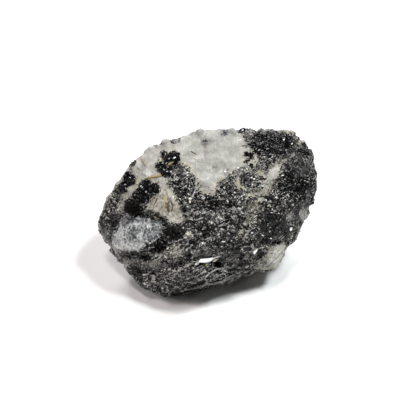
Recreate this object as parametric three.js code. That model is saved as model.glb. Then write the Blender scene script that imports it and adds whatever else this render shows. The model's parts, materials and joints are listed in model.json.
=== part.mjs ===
// Rough labradorite: one broken lump of pale feldspar grown through black mica schist.
// Units are millimetres and +Z is up. The stone rests on its flattest break, at z = 0, with its
// origin under the middle of its bounding box. Its broad show side looks towards -Y and leans back.
import * as THREE from "three";
import { ConvexHull } from "three/addons/math/ConvexHull.js";
import { ImprovedNoise } from "three/addons/math/ImprovedNoise.js";
import { mergeVertices } from "three/addons/utils/BufferGeometryUtils.js";

// Driving dimensions. The show side has a frame of its own: x along the stone, up the face and out of it.
const FACE_LEAN = THREE.MathUtils.degToRad(52); // how far the show side lies back from upright
const FACE_HEIGHT = 17.2; // height of the show side's middle above the ground
const LENGTH = 55; // longest way across, with DEPTH and HEIGHT: they only spread the mesh evenly
const DEPTH = 34;
const HEIGHT = 32;
const MESH_DETAIL = 20; // splits of each edge of the icosahedron that the skin starts from
const FACET_BREAK = 14; // higher is a sharper edge between two crystal facets
const EDGE_SHARPNESS = 60; // higher is a crisper break between two faces, lower a more worn one
const SWELL_RELIEF = 0.35; // height of the broad swells
const FEATURE_WANDER = 1.2; // how far the outline of a lump or crevice strays from its plain shape
const GRAVEL_RELIEF = 0.35; // height of the finest roughness that the solid carries

// Corners of the rough block before its relief: [x, up, out], in the frame of the show side.
const RIM = [
  [-28.6, -2.6, -3.0],
  [-26.8, 2.9, -4.0],
  [-22.2, 10.3, -5.5],
  [-15.8, 16.6, -6.5],
  [-8.4, 19.6, -6.5],
  [-3.6, 21.8, -5.5],
  [5.5, 19.8, -5.0],
  [23.8, 21.7, -6.0],
  [25.6, 18.9, -6.5],
  [27.8, 15.2, -6.5],
  [28.4, 8.6, -6.0],
  [22.9, 0.6, -5.5],
  [23.8, -3.6, -5.0],
  [20.2, -9.2, -3.5],
  [17.4, -11.4, -2.0],
  [9.5, -12.3, -1.5],
  [0.0, -17.7, 0.0],
  [-11.0, -19.2, 0.5],
  [-15.8, -18.9, 0.0],
  [-22.8, -11.8, -1.5],
];
const SHOW_SIDE = [
  [0.0, -5.5, 12.5],
  [-14.5, -5.0, 9.0],
  [-21.5, -3.0, 3.5],
  [13.5, -3.5, 9.0],
  [-3.0, -15.0, 8.0],
  [-13.5, -14.0, 5.5],
  [11.0, -11.0, 5.5],
  [3.0, 8.5, 6.5],
  [-11.5, 9.0, 5.5],
  [16.5, 9.5, 4.5],
  [22.5, 3.5, 3.5],
];
// Corners at the back and under the stone: [x, y, z], level.
const BACK = [
  [-14.5, 13.6, 24.0],
  [-2.0, 18.6, 27.6],
  [9.0, 19.6, 28.0],
  [19.0, 19.4, 26.6],
  [24.6, 16.4, 19.0],
  [21.0, 17.0, 9.5],
  [6.0, 18.2, 8.5],
  [-9.0, 14.6, 8.0],
  [-21.5, 8.0, 13.0],
];
const SEAT = [
  [-12.0, -9.4, -0.6],
  [-4.0, -8.0, -0.6],
  [6.5, -3.0, -0.6],
  [11.0, 4.0, -0.6],
  [2.0, 10.5, -0.6],
  [-10.0, 8.5, -0.6],
  [-17.0, 0.0, -0.6],
];

// Relief of the show side: places and sizes are [x, up] along the face, and heights stand out of it.
const LUMPS = [
  { name: "milky crystal", at: [-18.6, -5.6], half: [5.4, 4.3], turn: 12, height: 1.5, brink: 0.45 },
  { name: "black knob", at: [-18.9, 1.5], half: [2.4, 2.2], turn: 0, height: 1.3, brink: 0.7 },
  { name: "pale lens", at: [16.0, -10.8], half: [4.6, 2.3], turn: 40, height: 1.2, brink: 0.6 },
  { name: "right shoulder", at: [22.0, 8.5], half: [6.0, 8.0], turn: 8, height: 1.3, brink: 0.5 },
  { name: "top plateau", at: [20.4, 18.4], half: [4.6, 3.4], turn: 0, height: 1.3, brink: 0.45 },
  { name: "top knob", at: [-10.3, 18.2], half: [2.4, 1.6], turn: 10, height: 0.9, brink: 0.7 },
  { name: "beige boss", at: [-13.0, 2.5], half: [4.2, 4.6], turn: -20, height: 0.8, brink: 0.6 },
  { name: "middle boss", at: [4.0, 0.5], half: [8.0, 3.4], turn: 8, height: 1.1, brink: 0.5 },
];
const HOLLOWS = [
  { name: "feldspar scoop", at: [2.0, 12.0], half: [8.5, 6.0], turn: -12, height: -1.1, brink: 0.9 },
  { name: "under the arch", at: [2.6, 2.2], half: [5.4, 1.9], turn: 6, height: -1.6, brink: 0.7 },
  { name: "by the crystal", at: [-11.4, -7.6], half: [2.0, 2.6], turn: -20, height: -1.7, brink: 0.7 },
  { name: "above the crystal", at: [-9.4, -3.8], half: [3.0, 1.5], turn: 8, height: -1.5, brink: 0.7 },
  { name: "under the lens", at: [8.6, -16.6], half: [5.0, 2.0], turn: 22, height: -1.2, brink: 0.8 },
  { name: "by the lens", at: [13.0, -9.4], half: [2.6, 1.4], turn: 30, height: -1.3, brink: 0.7 },
];
const CREVICES = [
  {
    name: "under the crystal",
    depth: 1.5,
    width: 0.9,
    line: [[-22.6, -9.6], [-19.5, -10.8], [-15.5, -10.9], [-11.0, -9.2]],
  },
  {
    name: "behind the shoulder",
    depth: 1.8,
    width: 1.3,
    line: [[25.0, 20.0], [22.6, 18.0], [17.0, 13.8], [13.0, 11.4]],
  },
  { name: "across the shoulder", depth: 0.8, width: 0.9, line: [[18.0, 7.2], [21.8, 8.0], [25.0, 9.4]] },
  { name: "down the shoulder", depth: 0.6, width: 1.2, line: [[17.5, 12.6], [14.6, 5.6], [10.0, 1.0]] },
];
// A ledge stands out below its line and catches light on its upper side.
const LEDGES = [
  {
    name: "bright ledge",
    rise: 1.3,
    run: 6.0,
    line: [[-12.0, -15.6], [-6.0, -12.8], [-1.5, -11.2], [3.0, -11.4]],
  },
  {
    name: "lower ledge",
    rise: 1.0,
    run: 3.6,
    line: [[-6.0, -18.2], [2.0, -15.6], [8.0, -13.2], [14.0, -12.0]],
  },
  {
    name: "middle ledge",
    rise: 0.9,
    run: 5.0,
    line: [[-6.0, -6.8], [2.0, -7.4], [10.0, -5.2], [16.0, -6.6]],
  },
];
// The schist splits into thin leaves, which step out along the lower half and round the back.
const LEAF_NORMAL = new THREE.Vector3(-0.34, -0.1, 0.93).normalize();
const LEAF_SPACING = 2.7;
const LEAF_STEP = 0.75;
const LEAF_TOP = -3.5; // up the show side, where the leaves fade out
const LEAF_FADE = 5;

const ACROSS = new THREE.Vector3(1, 0, 0);
const UP_FACE = new THREE.Vector3(0, 1, 0).applyAxisAngle(ACROSS, FACE_LEAN);
const OUT_OF_FACE = new THREE.Vector3(0, 0, 1).applyAxisAngle(ACROSS, FACE_LEAN);
const FACE_MIDDLE = new THREE.Vector3(0, 0, FACE_HEIGHT);
const { smoothstep } = THREE.MathUtils;
const noise = new ImprovedNoise();

function fromFace([x, up, out]) {
  return FACE_MIDDLE.clone()
    .addScaledVector(ACROSS, x)
    .addScaledVector(UP_FACE, up)
    .addScaledVector(OUT_OF_FACE, out);
}

function alongFace(point) {
  const offset = point.clone().sub(FACE_MIDDLE);
  return new THREE.Vector2(offset.dot(ACROSS), offset.dot(UP_FACE));
}

// The block's faces, seen from a point inside it: each is a unit normal and its distance.
function blockFaces(corners, inside) {
  const hull = new ConvexHull().setFromPoints(corners);
  return hull.faces.map((face) => ({
    normal: face.normal.clone(),
    distance: face.constant - face.normal.dot(inside),
  }));
}

// Where a ray from inside leaves the block, with the edges between faces worn, and the normal there.
function skinPoint(faces, inside, direction) {
  let sum = 0;
  const normal = new THREE.Vector3();
  for (const face of faces) {
    const share = face.normal.dot(direction) / face.distance;
    if (share <= 0) continue;
    sum += share ** EDGE_SHARPNESS;
    normal.addScaledVector(face.normal, share ** (EDGE_SHARPNESS - 1) / face.distance);
  }
  const reach = sum ** (-1 / EDGE_SHARPNESS);
  return { point: inside.clone().addScaledVector(direction, reach), normal: normal.normalize() };
}

// 1 well inside the ellipse of a lump or hollow, 0 outside, with a slope as wide as its brink.
function moundShape({ at, half, turn, brink }, place) {
  const local = place
    .clone()
    .sub(new THREE.Vector2(...at))
    .rotateAround(new THREE.Vector2(), -THREE.MathUtils.degToRad(turn));
  const reach = Math.hypot(local.x / half[0], local.y / half[1]);
  return 1 - smoothstep(reach, 1 - brink, 1 + brink / 2);
}

// The nearest point of a line of [x, up] points: how far off it is, and whether the place lies below.
function nearestOnLine(line, place) {
  let nearest = { distance: Infinity, below: false, beyond: 0 };
  for (let i = 1; i < line.length; i++) {
    const start = new THREE.Vector2(...line[i - 1]);
    const run = new THREE.Vector2(...line[i]).sub(start);
    const offset = place.clone().sub(start);
    const share = offset.dot(run) / run.lengthSq();
    const held = THREE.MathUtils.clamp(share, 0, 1);
    const distance = offset.clone().addScaledVector(run, -held).length();
    if (distance < nearest.distance) {
      const beyond = Math.abs(share - held) * run.length();
      nearest = { distance, below: run.cross(offset) < 0, beyond };
    }
  }
  return nearest;
}

function creviceDepth({ line, depth, width }, place) {
  const { distance } = nearestOnLine(line, place);
  return -depth * Math.exp(-((distance / width) ** 2));
}

function ledgeHeight({ line, rise, run }, place) {
  const { distance, below, beyond } = nearestOnLine(line, place);
  const side = below ? smoothstep(distance, -0.5, 0.5) : 1 - smoothstep(distance, -0.5, 0.5);
  const fade = 1 - smoothstep(distance, run / 3, run);
  return rise * side * fade * (1 - smoothstep(beyond, 0, 3));
}

// Steps of the schist's leaves: each leaf slopes out and then breaks back.
function leafStep(point) {
  const wander = noise.noise(point.x / 9, point.y / 9, point.z / 9 + 7) * 0.9;
  const turns = point.dot(LEAF_NORMAL) / LEAF_SPACING + wander;
  const along = turns - Math.floor(turns);
  const strength = 0.6 + noise.noise(point.x / 6 + 3, point.y / 6, point.z / 6) * 0.8;
  return LEAF_STEP * strength * (smoothstep(along, 0, 0.75) - smoothstep(along, 0.75, 1) - 0.4);
}

// A share of 1 that looks random but is fixed for each lattice cell and salt.
function cellShare(i, j, k, salt) {
  let mixed = Math.imul(i, 374761393) ^ Math.imul(j, 668265263);
  mixed ^= Math.imul(k, 1274126177) ^ Math.imul(salt, 362437);
  mixed = Math.imul(mixed ^ (mixed >>> 13), 1103515245);
  mixed ^= mixed >>> 16;
  return (mixed >>> 0) / 2 ** 32;
}

// Broken crystal faces: each cell of a jittered lattice is a nearly flat facet, with its own tilt
// and height.
function crystalFacet(point, size, tilt) {
  const base = [point.x, point.y, point.z].map((value) => Math.floor(value / size));
  let shares = 0;
  let height = 0;
  for (let di = -1; di <= 1; di++)
    for (let dj = -1; dj <= 1; dj++)
      for (let dk = -1; dk <= 1; dk++) {
        const cell = [base[0] + di, base[1] + dj, base[2] + dk];
        const seed = cell.map((value, axis) => (value + cellShare(...cell, axis)) * size);
        const offset = new THREE.Vector3(point.x - seed[0], point.y - seed[1], point.z - seed[2]);
        const lean = new THREE.Vector3(...[3, 4, 5].map((salt) => cellShare(...cell, salt) - 0.5));
        const share = Math.exp((-FACET_BREAK * offset.lengthSq()) / size ** 2);
        shares += share;
        height += share * (offset.dot(lean) + (cellShare(...cell, 6) - 0.5) * size * 0.5) * tilt;
      }
  return height / shares;
}

function relief(point, normal) {
  const wander = new THREE.Vector2(
    noise.noise(point.x / 4.5, point.y / 4.5, point.z / 4.5),
    noise.noise(point.x / 4.5 + 5, point.y / 4.5, point.z / 4.5 + 9),
  );
  const place = alongFace(point).addScaledVector(wander, FEATURE_WANDER);
  const shown = smoothstep(normal.dot(OUT_OF_FACE), -0.05, 0.3);
  let height = 0;
  for (const mound of [...LUMPS, ...HOLLOWS]) height += mound.height * moundShape(mound, place) * shown;
  for (const crevice of CREVICES) height += creviceDepth(crevice, place) * shown;
  for (const ledge of LEDGES) height += ledgeHeight(ledge, place) * shown;
  const leafy = Math.max(1 - smoothstep(place.y, LEAF_TOP, LEAF_TOP + LEAF_FADE), 1 - shown);
  height += leafStep(point) * leafy;
  height += crystalFacet(point, 5.2, 0.32) + crystalFacet(point, 2.9, 0.28);
  height += noise.noise(point.x / 8, point.y / 8, point.z / 8) * SWELL_RELIEF;
  height += noise.noise(point.x / 2.9, point.y / 2.9, point.z / 2.9) * GRAVEL_RELIEF;
  return height;
}

// The skin is an even net of triangles thrown out from the middle of the block onto its faces.
function stoneGeometry() {
  const corners = [...RIM, ...SHOW_SIDE].map(fromFace);
  for (const corner of [...BACK, ...SEAT]) corners.push(new THREE.Vector3(...corner));
  const inside = new THREE.Vector3(0, 2, FACE_HEIGHT - 1);
  const faces = blockFaces(corners, inside);

  const ball = new THREE.IcosahedronGeometry(1, MESH_DETAIL);
  ball.deleteAttribute("normal");
  ball.deleteAttribute("uv");
  const net = mergeVertices(ball);
  const places = net.getAttribute("position");
  const stretch = new THREE.Vector3(LENGTH, DEPTH, HEIGHT);
  for (let i = 0; i < places.count; i++) {
    const direction = new THREE.Vector3().fromBufferAttribute(places, i).multiply(stretch).normalize();
    const { point, normal } = skinPoint(faces, inside, direction);
    point.addScaledVector(normal, relief(point, normal));
    point.z = Math.max(point.z, 0); // the break that it rests on is flat
    places.setXYZ(i, point.x, point.y, point.z);
  }
  net.computeBoundingBox();
  const middle = net.boundingBox.getCenter(new THREE.Vector3());
  net.translate(-middle.x, -middle.y, 0);
  net.computeVertexNormals();
  return net;
}

const schist = new THREE.MeshStandardMaterial({ color: 0x5a5a58, roughness: 0.55, metalness: 0 });
const stone = new THREE.Mesh(stoneGeometry(), schist);
stone.name = "labradorite_stone";

const specimen = new THREE.Group();
specimen.add(stone);

export default specimen;
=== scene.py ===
import json
import math

import bpy
import numpy as np
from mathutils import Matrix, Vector
from mathutils.bvhtree import BVHTree

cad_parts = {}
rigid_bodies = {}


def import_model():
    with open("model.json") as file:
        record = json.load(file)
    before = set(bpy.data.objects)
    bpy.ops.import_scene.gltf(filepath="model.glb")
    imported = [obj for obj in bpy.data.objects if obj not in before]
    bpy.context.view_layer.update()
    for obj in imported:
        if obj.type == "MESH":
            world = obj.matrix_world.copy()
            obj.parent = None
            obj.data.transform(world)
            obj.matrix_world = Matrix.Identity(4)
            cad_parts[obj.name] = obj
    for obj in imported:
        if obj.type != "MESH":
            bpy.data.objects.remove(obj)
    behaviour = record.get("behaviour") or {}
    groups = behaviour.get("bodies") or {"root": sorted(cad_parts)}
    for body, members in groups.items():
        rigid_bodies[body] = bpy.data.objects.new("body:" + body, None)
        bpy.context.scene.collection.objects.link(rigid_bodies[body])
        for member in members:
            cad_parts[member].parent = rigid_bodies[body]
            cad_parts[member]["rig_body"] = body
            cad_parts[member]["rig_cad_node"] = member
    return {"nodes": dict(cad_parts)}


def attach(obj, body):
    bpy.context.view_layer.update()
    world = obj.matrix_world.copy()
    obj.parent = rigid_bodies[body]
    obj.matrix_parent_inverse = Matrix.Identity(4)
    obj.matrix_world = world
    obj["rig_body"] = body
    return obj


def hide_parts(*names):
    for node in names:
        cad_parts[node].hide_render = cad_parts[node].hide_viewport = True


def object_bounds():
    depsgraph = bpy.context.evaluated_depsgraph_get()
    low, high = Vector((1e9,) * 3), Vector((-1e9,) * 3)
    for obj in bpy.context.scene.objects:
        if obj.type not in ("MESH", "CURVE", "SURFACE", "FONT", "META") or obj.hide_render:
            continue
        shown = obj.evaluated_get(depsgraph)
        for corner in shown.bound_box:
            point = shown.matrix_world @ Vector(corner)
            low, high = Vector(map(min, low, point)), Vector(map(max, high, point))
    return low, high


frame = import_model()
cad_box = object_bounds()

# ---------------------------------------------------------------------------------------------
# The viewer. A long lens looks down on the stone from in front of its show side, which leans
# back square to the line of sight, so places on that side are given as seen from here.
# ---------------------------------------------------------------------------------------------
MM = 0.001
SIGHT_RISE = math.radians(38.0)
SIGHT_DISTANCE = 350.0 * MM
FRAME_WIDTH = 104.0 * MM  # what the frame spans at the stone
SENSOR_WIDTH = 36.0

to_viewer = Vector((0.0, -math.cos(SIGHT_RISE), math.sin(SIGHT_RISE)))
up_in_sight = Vector((0.0, math.sin(SIGHT_RISE), math.cos(SIGHT_RISE)))
show_side_middle = Vector((-0.06, 0.54, 17.9)) * MM
toward = np.array(to_viewer)

camera_data = bpy.data.cameras.new("viewer")
camera_data.sensor_width = SENSOR_WIDTH
camera_data.lens = SENSOR_WIDTH * SIGHT_DISTANCE / FRAME_WIDTH
camera_data.clip_start = 0.01
camera = bpy.data.objects.new("viewer", camera_data)
bpy.context.scene.collection.objects.link(camera)
camera.location = show_side_middle + to_viewer * SIGHT_DISTANCE
camera.rotation_euler = (math.pi / 2 - SIGHT_RISE, 0.0, 0.0)
bpy.context.scene.camera = camera

# ---------------------------------------------------------------------------------------------
# The stone. One broken lump of schist: black mica and amphibole grains with a mass of pale
# feldspar, a milky crystal and tan seams grown through it. It is the CAD solid with its skin
# made finer: worn, then broken into grains, cleavage steps and leaves by the steel hammer.
# ---------------------------------------------------------------------------------------------
SKIN_STEP = 0.285  # mm between points of the finished skin
WEAR_PASSES = 5
SEAT_BAND = 0.5  # mm above the ground in which the skin stays as flat as the seat
GRAIN_ANGLE = math.radians(28.0)  # faces that meet at more than this keep a crisp edge
# The way across the leaves of the schist.
LEAF_NORMAL = np.array([-0.34, -0.1, 0.93]) / np.linalg.norm([-0.34, -0.1, 0.93])

# Outlines on the show side as the viewer sees it: mm right of and above the middle of sight.
FELDSPAR_OUTLINES = [
    # the broad pale face, with the arm that runs down beside the black crystals
    [(9, 22), (8.88, 19.25), (8.62, 18), (8.88, 17), (9.5, 16), (10.5, 15), (11.5, 14), (12.5, 13),
     (12.5, 11.75), (11.75, 10.5), (10.5, 9.75), (9.5, 10.25), (8.25, 10), (6.75, 9.5), (5.75, 8.75),
     (5.25, 8), (4.25, 7.25), (3.25, 6.75), (2.25, 6.25), (2, 5), (1.75, 3.75), (0.5, 3.25),
     (-1.25, 3.5), (-2.25, 4.75), (-2.75, 6.5), (-3.5, 8.25), (-4.5, 9), (-4.5, 10), (-5, 10.75),
     (-6.25, 11.25), (-7.25, 12), (-7.5, 13.5), (-8.5, 14.25), (-9.5, 14), (-10.25, 13.5),
     (-11.25, 14), (-11.75, 13.25), (-11.25, 11.75), (-12.25, 11.75), (-13, 11), (-12.5, 9.5),
     (-11.5, 8.25), (-10.5, 7.5), (-10, 6), (-9, 4.5), (-8.25, 2.75), (-7.25, 1.25), (-6.5, -0.5),
     (-6, -2), (-5.75, -3.25), (-7.25, -4), (-9.25, -3.75), (-10.75, -2.5), (-12.25, -1.5),
     (-14.5, -1), (-15.75, 0), (-15.25, 1.25), (-14, 2.5), (-12.25, 3.5), (-11.75, 5), (-12.75, 6.5),
     (-13.75, 6.25), (-14.75, 7), (-16.25, 7), (-17.25, 6.25), (-17.5, 4.75), (-18.5, 3.75),
     (-19.25, 2.5), (-20.25, 2), (-21.75, 2.75), (-22, 4), (-20.5, 4.25), (-20, 5.25), (-20.25, 6),
     (-18.75, 5.75), (-18.25, 7), (-18.75, 8.5), (-19.5, 9.25), (-20.25, 9.75), (-22.5, 14.5),
     (-14.5, 22)],
    # the pale rim down the left edge
    [(-19.25, 11), (-20.5, 9), (-21.5, 7.25), (-22.25, 5.75), (-23.5, 4), (-24.75, 2.25),
     (-25.75, 0.25), (-26.5, -1.25), (-27.25, -2.75), (-29.5, -2.75), (-29.5, 4.5), (-23.25, 12)],
    # the pale wedge beside the right shoulder, and the wisps below it
    [(18.88, 11.88), (18.38, 10.88), (18.12, 9.75), (17.62, 8.5), (17, 7.38), (16.38, 6.5),
     (15.88, 5.5), (15, 4.38), (14.12, 4.5), (13.5, 5.25), (13.5, 6.38), (14.38, 7.25), (15.08, 8.12),
     (15.5, 9.12), (16, 10), (16.75, 10.75), (17.75, 11.38)],
    [(9.75, 3), (11, 3.75), (12.75, 4), (14.5, 4.75), (15, 4.25), (13.5, 3.25), (11.5, 2.88),
     (10.25, 2.5)],
    [(11.25, 1.75), (12.75, 2.25), (14, 2.12), (14, 1.62), (12.5, 1.25), (11.25, 1.12)],
    [(13.25, 6.75), (13.75, 7), (13.88, 6), (14.5, 5.25), (14, 4.88), (13.25, 5.75)],
    [(12, 9.25), (13.25, 9.5), (14.25, 9), (14.5, 8.25), (13.25, 8), (12.25, 8.5)],
    [(7.25, 7.5), (8, 7.75), (8.25, 6.75), (8.5, 5.75), (9.5, 4.75), (9.25, 4.25), (8, 5), (7.25, 6)],
    # the rim at the top right
    [(10.5, 20.5), (16.75, 20.5), (22, 20.5), (23.25, 18.75), (22.75, 17.5), (23.75, 16.5),
     (23, 16.12), (22.05, 16.88), (21.65, 17.85), (20.95, 18.55), (19.5, 18.83), (16.75, 18.92),
     (13.5, 18.95), (10.5, 19)],
    # the lens low on the right
    [(19, -8.75), (19.75, -9.75), (19.25, -11.5), (18.25, -13.25), (17, -14.75), (15.5, -15.75),
     (13.5, -16), (11.75, -15.5), (12.5, -14), (13.75, -12.5), (15, -11), (15.75, -9.75), (17.25, -9)],
]
TAN_OUTLINES = [
    # the seam that runs down the right
    [(19, 12), (17.5, 11.5), (16, 10.75), (15.25, 9.75), (15.25, 8.5), (16, 8), (16.75, 9.25),
     (17.75, 10.25), (18.75, 11.25)],
    [(15, 5), (13, 5), (11.25, 4.5), (9.75, 3.25), (10.25, 2.25), (12.25, 2.5), (14, 3), (15.75, 4)],
    [(10.25, 2), (11.75, 2), (13.25, 1.25), (13.5, 0), (12, -0.5), (10.5, -0.75), (9.5, 0.5)],
    # where it frays out downwards
    [(9.75, -1), (11, -1), (11, -2.75), (10, -4.5), (8.75, -6.25), (7.75, -7.5), (7.5, -7), (8.75, -5),
     (9.38, -2.75)],
    [(7, 8.5), (8, 8.5), (8.5, 6.75), (8, 4.75), (7, 5), (6.75, 7)],
]
GREY_OUTLINES = [
    # beside the round knob
    [(-22.12, 2.75), (-20.5, 3), (-20.25, 1.75), (-20.75, 0.5), (-20.5, -1.25), (-21.25, -2),
     (-22.25, -1), (-22.38, 1)],
    [(-16.75, 1.25), (-15.25, 1.25), (-14.75, -0.25), (-15.5, -1.25), (-16.75, -1)],
    # the worn patch at the right edge
    [(19.75, -1), (21.25, -0.88), (21.62, -2.25), (20.88, -3.75), (19.75, -3)],
    [(22.75, -1), (24.25, -0.38), (25.75, 0.5), (25.25, -3.5), (23.5, -6.75), (22, -9.25), (21, -9.25),
     (22.25, -6.5), (23.25, -3.5)],
    # the rim at lower left
    [(-26.25, -4.5), (-25, -6.5), (-23.75, -9), (-22.25, -10.75), (-20.5, -12.5), (-18, -13),
     (-18.5, -14.25), (-20, -15), (-21.5, -15), (-23.5, -12.25), (-25.75, -9), (-27.25, -6)],
    # the smooth dark body at the right
    [(18.25, 12), (20.5, 14), (23, 14), (25.25, 12), (26.25, 9.5), (25.25, 7.5), (22.5, 7.5), (20, 8),
     (18.5, 9.5)],
    # the band above it
    [(16.75, 12), (18.75, 14), (20.75, 15.5), (22.25, 16.25), (22.75, 15.25), (21.25, 14),
     (19.25, 12.5), (17.75, 11.25)],
    # the rounded lobe beside it
    [(8.88, 18.75), (9.75, 19.25), (10.75, 18.88), (11.25, 18), (10.88, 16.88), (10, 16.5),
     (9.12, 17.25)],
    # flat sheets low on the front
    [(-3.75, -11), (-1.25, -10.5), (1.5, -10.75), (1.25, -12), (-1, -12.25), (-3.5, -12.25)],
    [(3.5, -11.25), (5.75, -10.5), (7.5, -11), (7.75, -13.5), (7, -15.5), (5.25, -15), (4, -13.5)],
    # the shelf under the milky crystal
    [(-22.25, -12.25), (-20, -13), (-17, -13), (-14, -13.25), (-11.25, -13.5), (-9.5, -14.5),
     (-11.25, -15.5), (-14.5, -15), (-17, -14), (-19.5, -13.75), (-21, -14.25)],
]
MILKY_OUTLINES = [
    [(-21.75, -2.75), (-20.25, -1.5), (-18.75, -2.25), (-17.25, -2.25), (-15.75, -2.75), (-14, -3),
     (-12.5, -3.5), (-11.5, -4.75), (-11.5, -6.25), (-12.5, -7.25), (-12.75, -8.5), (-14.5, -8.5),
     (-15.75, -8.75), (-16.25, -10), (-17.25, -11), (-19, -10.75), (-20.75, -10.75), (-22.5, -10.25),
     (-23.75, -9.25), (-24.25, -7.75), (-23.5, -6.5), (-22.5, -5.5), (-22, -4)],
]
BEIGE_OUTLINES = [
    [(-11, 6.5), (-9.5, 4.5), (-8, 1.75), (-6.25, -1.5), (-5.5, -3.5), (-8, -4.25), (-11.25, -2.25),
     (-14.75, -1), (-16, 0.25), (-14.25, 2.5), (-12, 4)],
]
# Black crystals that stand proud of the pale face, and black schist level with the rest.
CRYSTAL_OUTLINES = [
    # the crystals in the pale face
    [(-11.75, 14), (-10.75, 14.25), (-9.75, 13.5), (-8.75, 14.25), (-7.25, 13.5), (-7.5, 12.25),
     (-8, 11.25), (-9.25, 10.75), (-9.25, 9.75), (-8.75, 8.75), (-10, 7.75), (-11.5, 8.25),
     (-12.5, 9.5), (-13, 11.25), (-12, 11.75), (-11, 11.25), (-11.25, 12.75)],
    [(-20.75, 8.75), (-19.5, 9.25), (-18.5, 8), (-18.25, 6.75), (-19.25, 5.75), (-20.5, 5.75),
     (-21.5, 6.75)],
    [(-22, 5.75), (-20.75, 6.5), (-20, 5.5), (-20.5, 4.25), (-21.75, 3.75), (-22.5, 4.5)],
    [(-17.25, 6), (-16, 6.75), (-15, 7.25), (-14.25, 6.25), (-13, 6.25), (-12, 5.5), (-12, 4.25),
     (-13, 3.5), (-14, 2.5), (-15, 1.5), (-16.5, 1.25), (-17.5, 2.25), (-18.75, 2.75), (-18.5, 4),
     (-17, 4.75)],
    [(9.25, 13.75), (9.75, 14), (10.25, 13.5), (9.75, 12.75), (9.25, 13)],
    [(10.5, 13.75), (11.25, 13.25), (11.25, 12.25), (10.5, 12.5)],
    [(9.5, 12.25), (10.25, 12), (10, 11.25), (9.25, 11.5)],
    [(10.75, 11.25), (11.5, 11), (11.25, 10.25), (10.5, 10.5)],
    # the round knob
    [(-20.5, 1), (-19.75, 1.75), (-18.5, 2), (-17.5, 1.5), (-17, 0.25), (-17.25, -1), (-18.25, -1.75),
     (-19.5, -1.75), (-20.5, -0.75)],
]
BLACK_OUTLINES = [
    # the patch at the top right
    [(8.88, 18.75), (9.75, 19.25), (11, 18.75), (12.25, 18.38), (13.5, 18.7), (15.5, 18.9),
     (18, 18.83), (20.25, 18.65), (21.25, 18), (21, 16.75), (20, 15.75), (19, 15), (17.25, 14),
     (15.25, 14), (13.5, 14.25), (12.25, 13.75), (11, 14.5), (9.75, 15.5), (8.88, 17)],
    [(-16.75, -1.25), (-15.5, -1), (-14.5, -2), (-15.25, -3.25), (-16.5, -3)],
    # the deep hollow below the beige arm, painted black as painted shade
    [(-10.25, -4.75), (-8.25, -4), (-6.5, -4.5), (-5.25, -5.75), (-6.25, -7.25), (-8, -8.25),
     (-10, -8), (-11.25, -6.5)],
    [(-24.5, -2.25), (-22.5, -2.75), (-22, -4.5), (-23.25, -5.75), (-24.75, -5.25)],
    [(-27, -1.75), (-26, -2.5), (-26, -4.25), (-25.25, -6.25), (-26.25, -6.75), (-27.5, -4.5)],
    [(17.5, 6), (19.25, 6.75), (21, 6.25), (23, 6.5), (25.25, 6.25), (26, 4.75), (24, 4), (22, 4.25),
     (19.5, 4.25), (17.75, 4.5)],
    [(21.5, 13.75), (23, 15), (24.75, 14.25), (24.5, 12.75), (22.5, 12.5)],
    [(13.75, -2), (16.75, -1.5), (19.5, -2.5), (20, -4.5), (19, -6.75), (16.5, -7.25), (14, -6.5),
     (12.75, -4.25)],
    [(7.62, -11.5), (8.5, -11.25), (8.75, -12.5), (8.62, -14.5), (7.75, -14.75), (7.38, -13)],
    [(12.25, -11), (13.5, -10.62), (14.75, -11.12), (14, -12.25), (12.5, -12.62)],
    [(-19.5, -15), (-18.5, -14.5), (-16.75, -15), (-16.12, -16.5), (-16.5, -18.25), (-18, -17.25),
     (-19.25, -16)],
]
# Hollows in deep shade: sunk into the stone, and painted near black there as painted shade.
SHADED_POCKET_OUTLINES = [
    [(-0.5, 1), (1, 1.25), (3.5, 0.88), (5.5, 1.12), (7, 1), (6.75, 0.38), (4.75, 0.12), (1.5, 0),
     (-0.25, 0.25)],
    [(-12.75, -8.5), (-11.25, -7.75), (-10, -8.5), (-10.25, -10.25), (-11.75, -11.25),
     (-13.25, -10.75)],
    [(-22, -10.75), (-20, -11), (-18, -11.25), (-16.5, -10.75), (-14.5, -11.5), (-13.5, -12.5),
     (-15.5, -13), (-18, -12.5), (-20.5, -12.25)],
    [(12.5, -8), (14.5, -7.75), (16.75, -8), (18.75, -8.25), (18, -9), (16, -9.5), (14, -9.5),
     (12.25, -9.25)],
    [(-19.25, -16), (-17.75, -16.25), (-16.25, -17.75), (-17, -18.5), (-18.5, -17.25)],
    [(-19.75, -14.5), (-18.5, -13.75), (-17.25, -14.5), (-18, -15.25), (-19.5, -15.25)],
    [(-15.25, -0.75), (-13.75, -0.75), (-12, -1.75), (-10.5, -3), (-10.75, -4.5), (-12.25, -3.25),
     (-14.25, -2)],
    [(-5.5, -19.25), (-3.25, -18.5), (-0.5, -18.25), (-0.5, -19), (-3, -19.5), (-5, -20)],
    [(1.5, -13.5), (2.5, -13.38), (3.75, -14.5), (3.25, -15.25), (1.75, -14.75)],
    [(-6.75, 0.5), (-6, 0.62), (-5.38, -1), (-5.75, -1.62), (-6.5, -1)],
]
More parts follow.
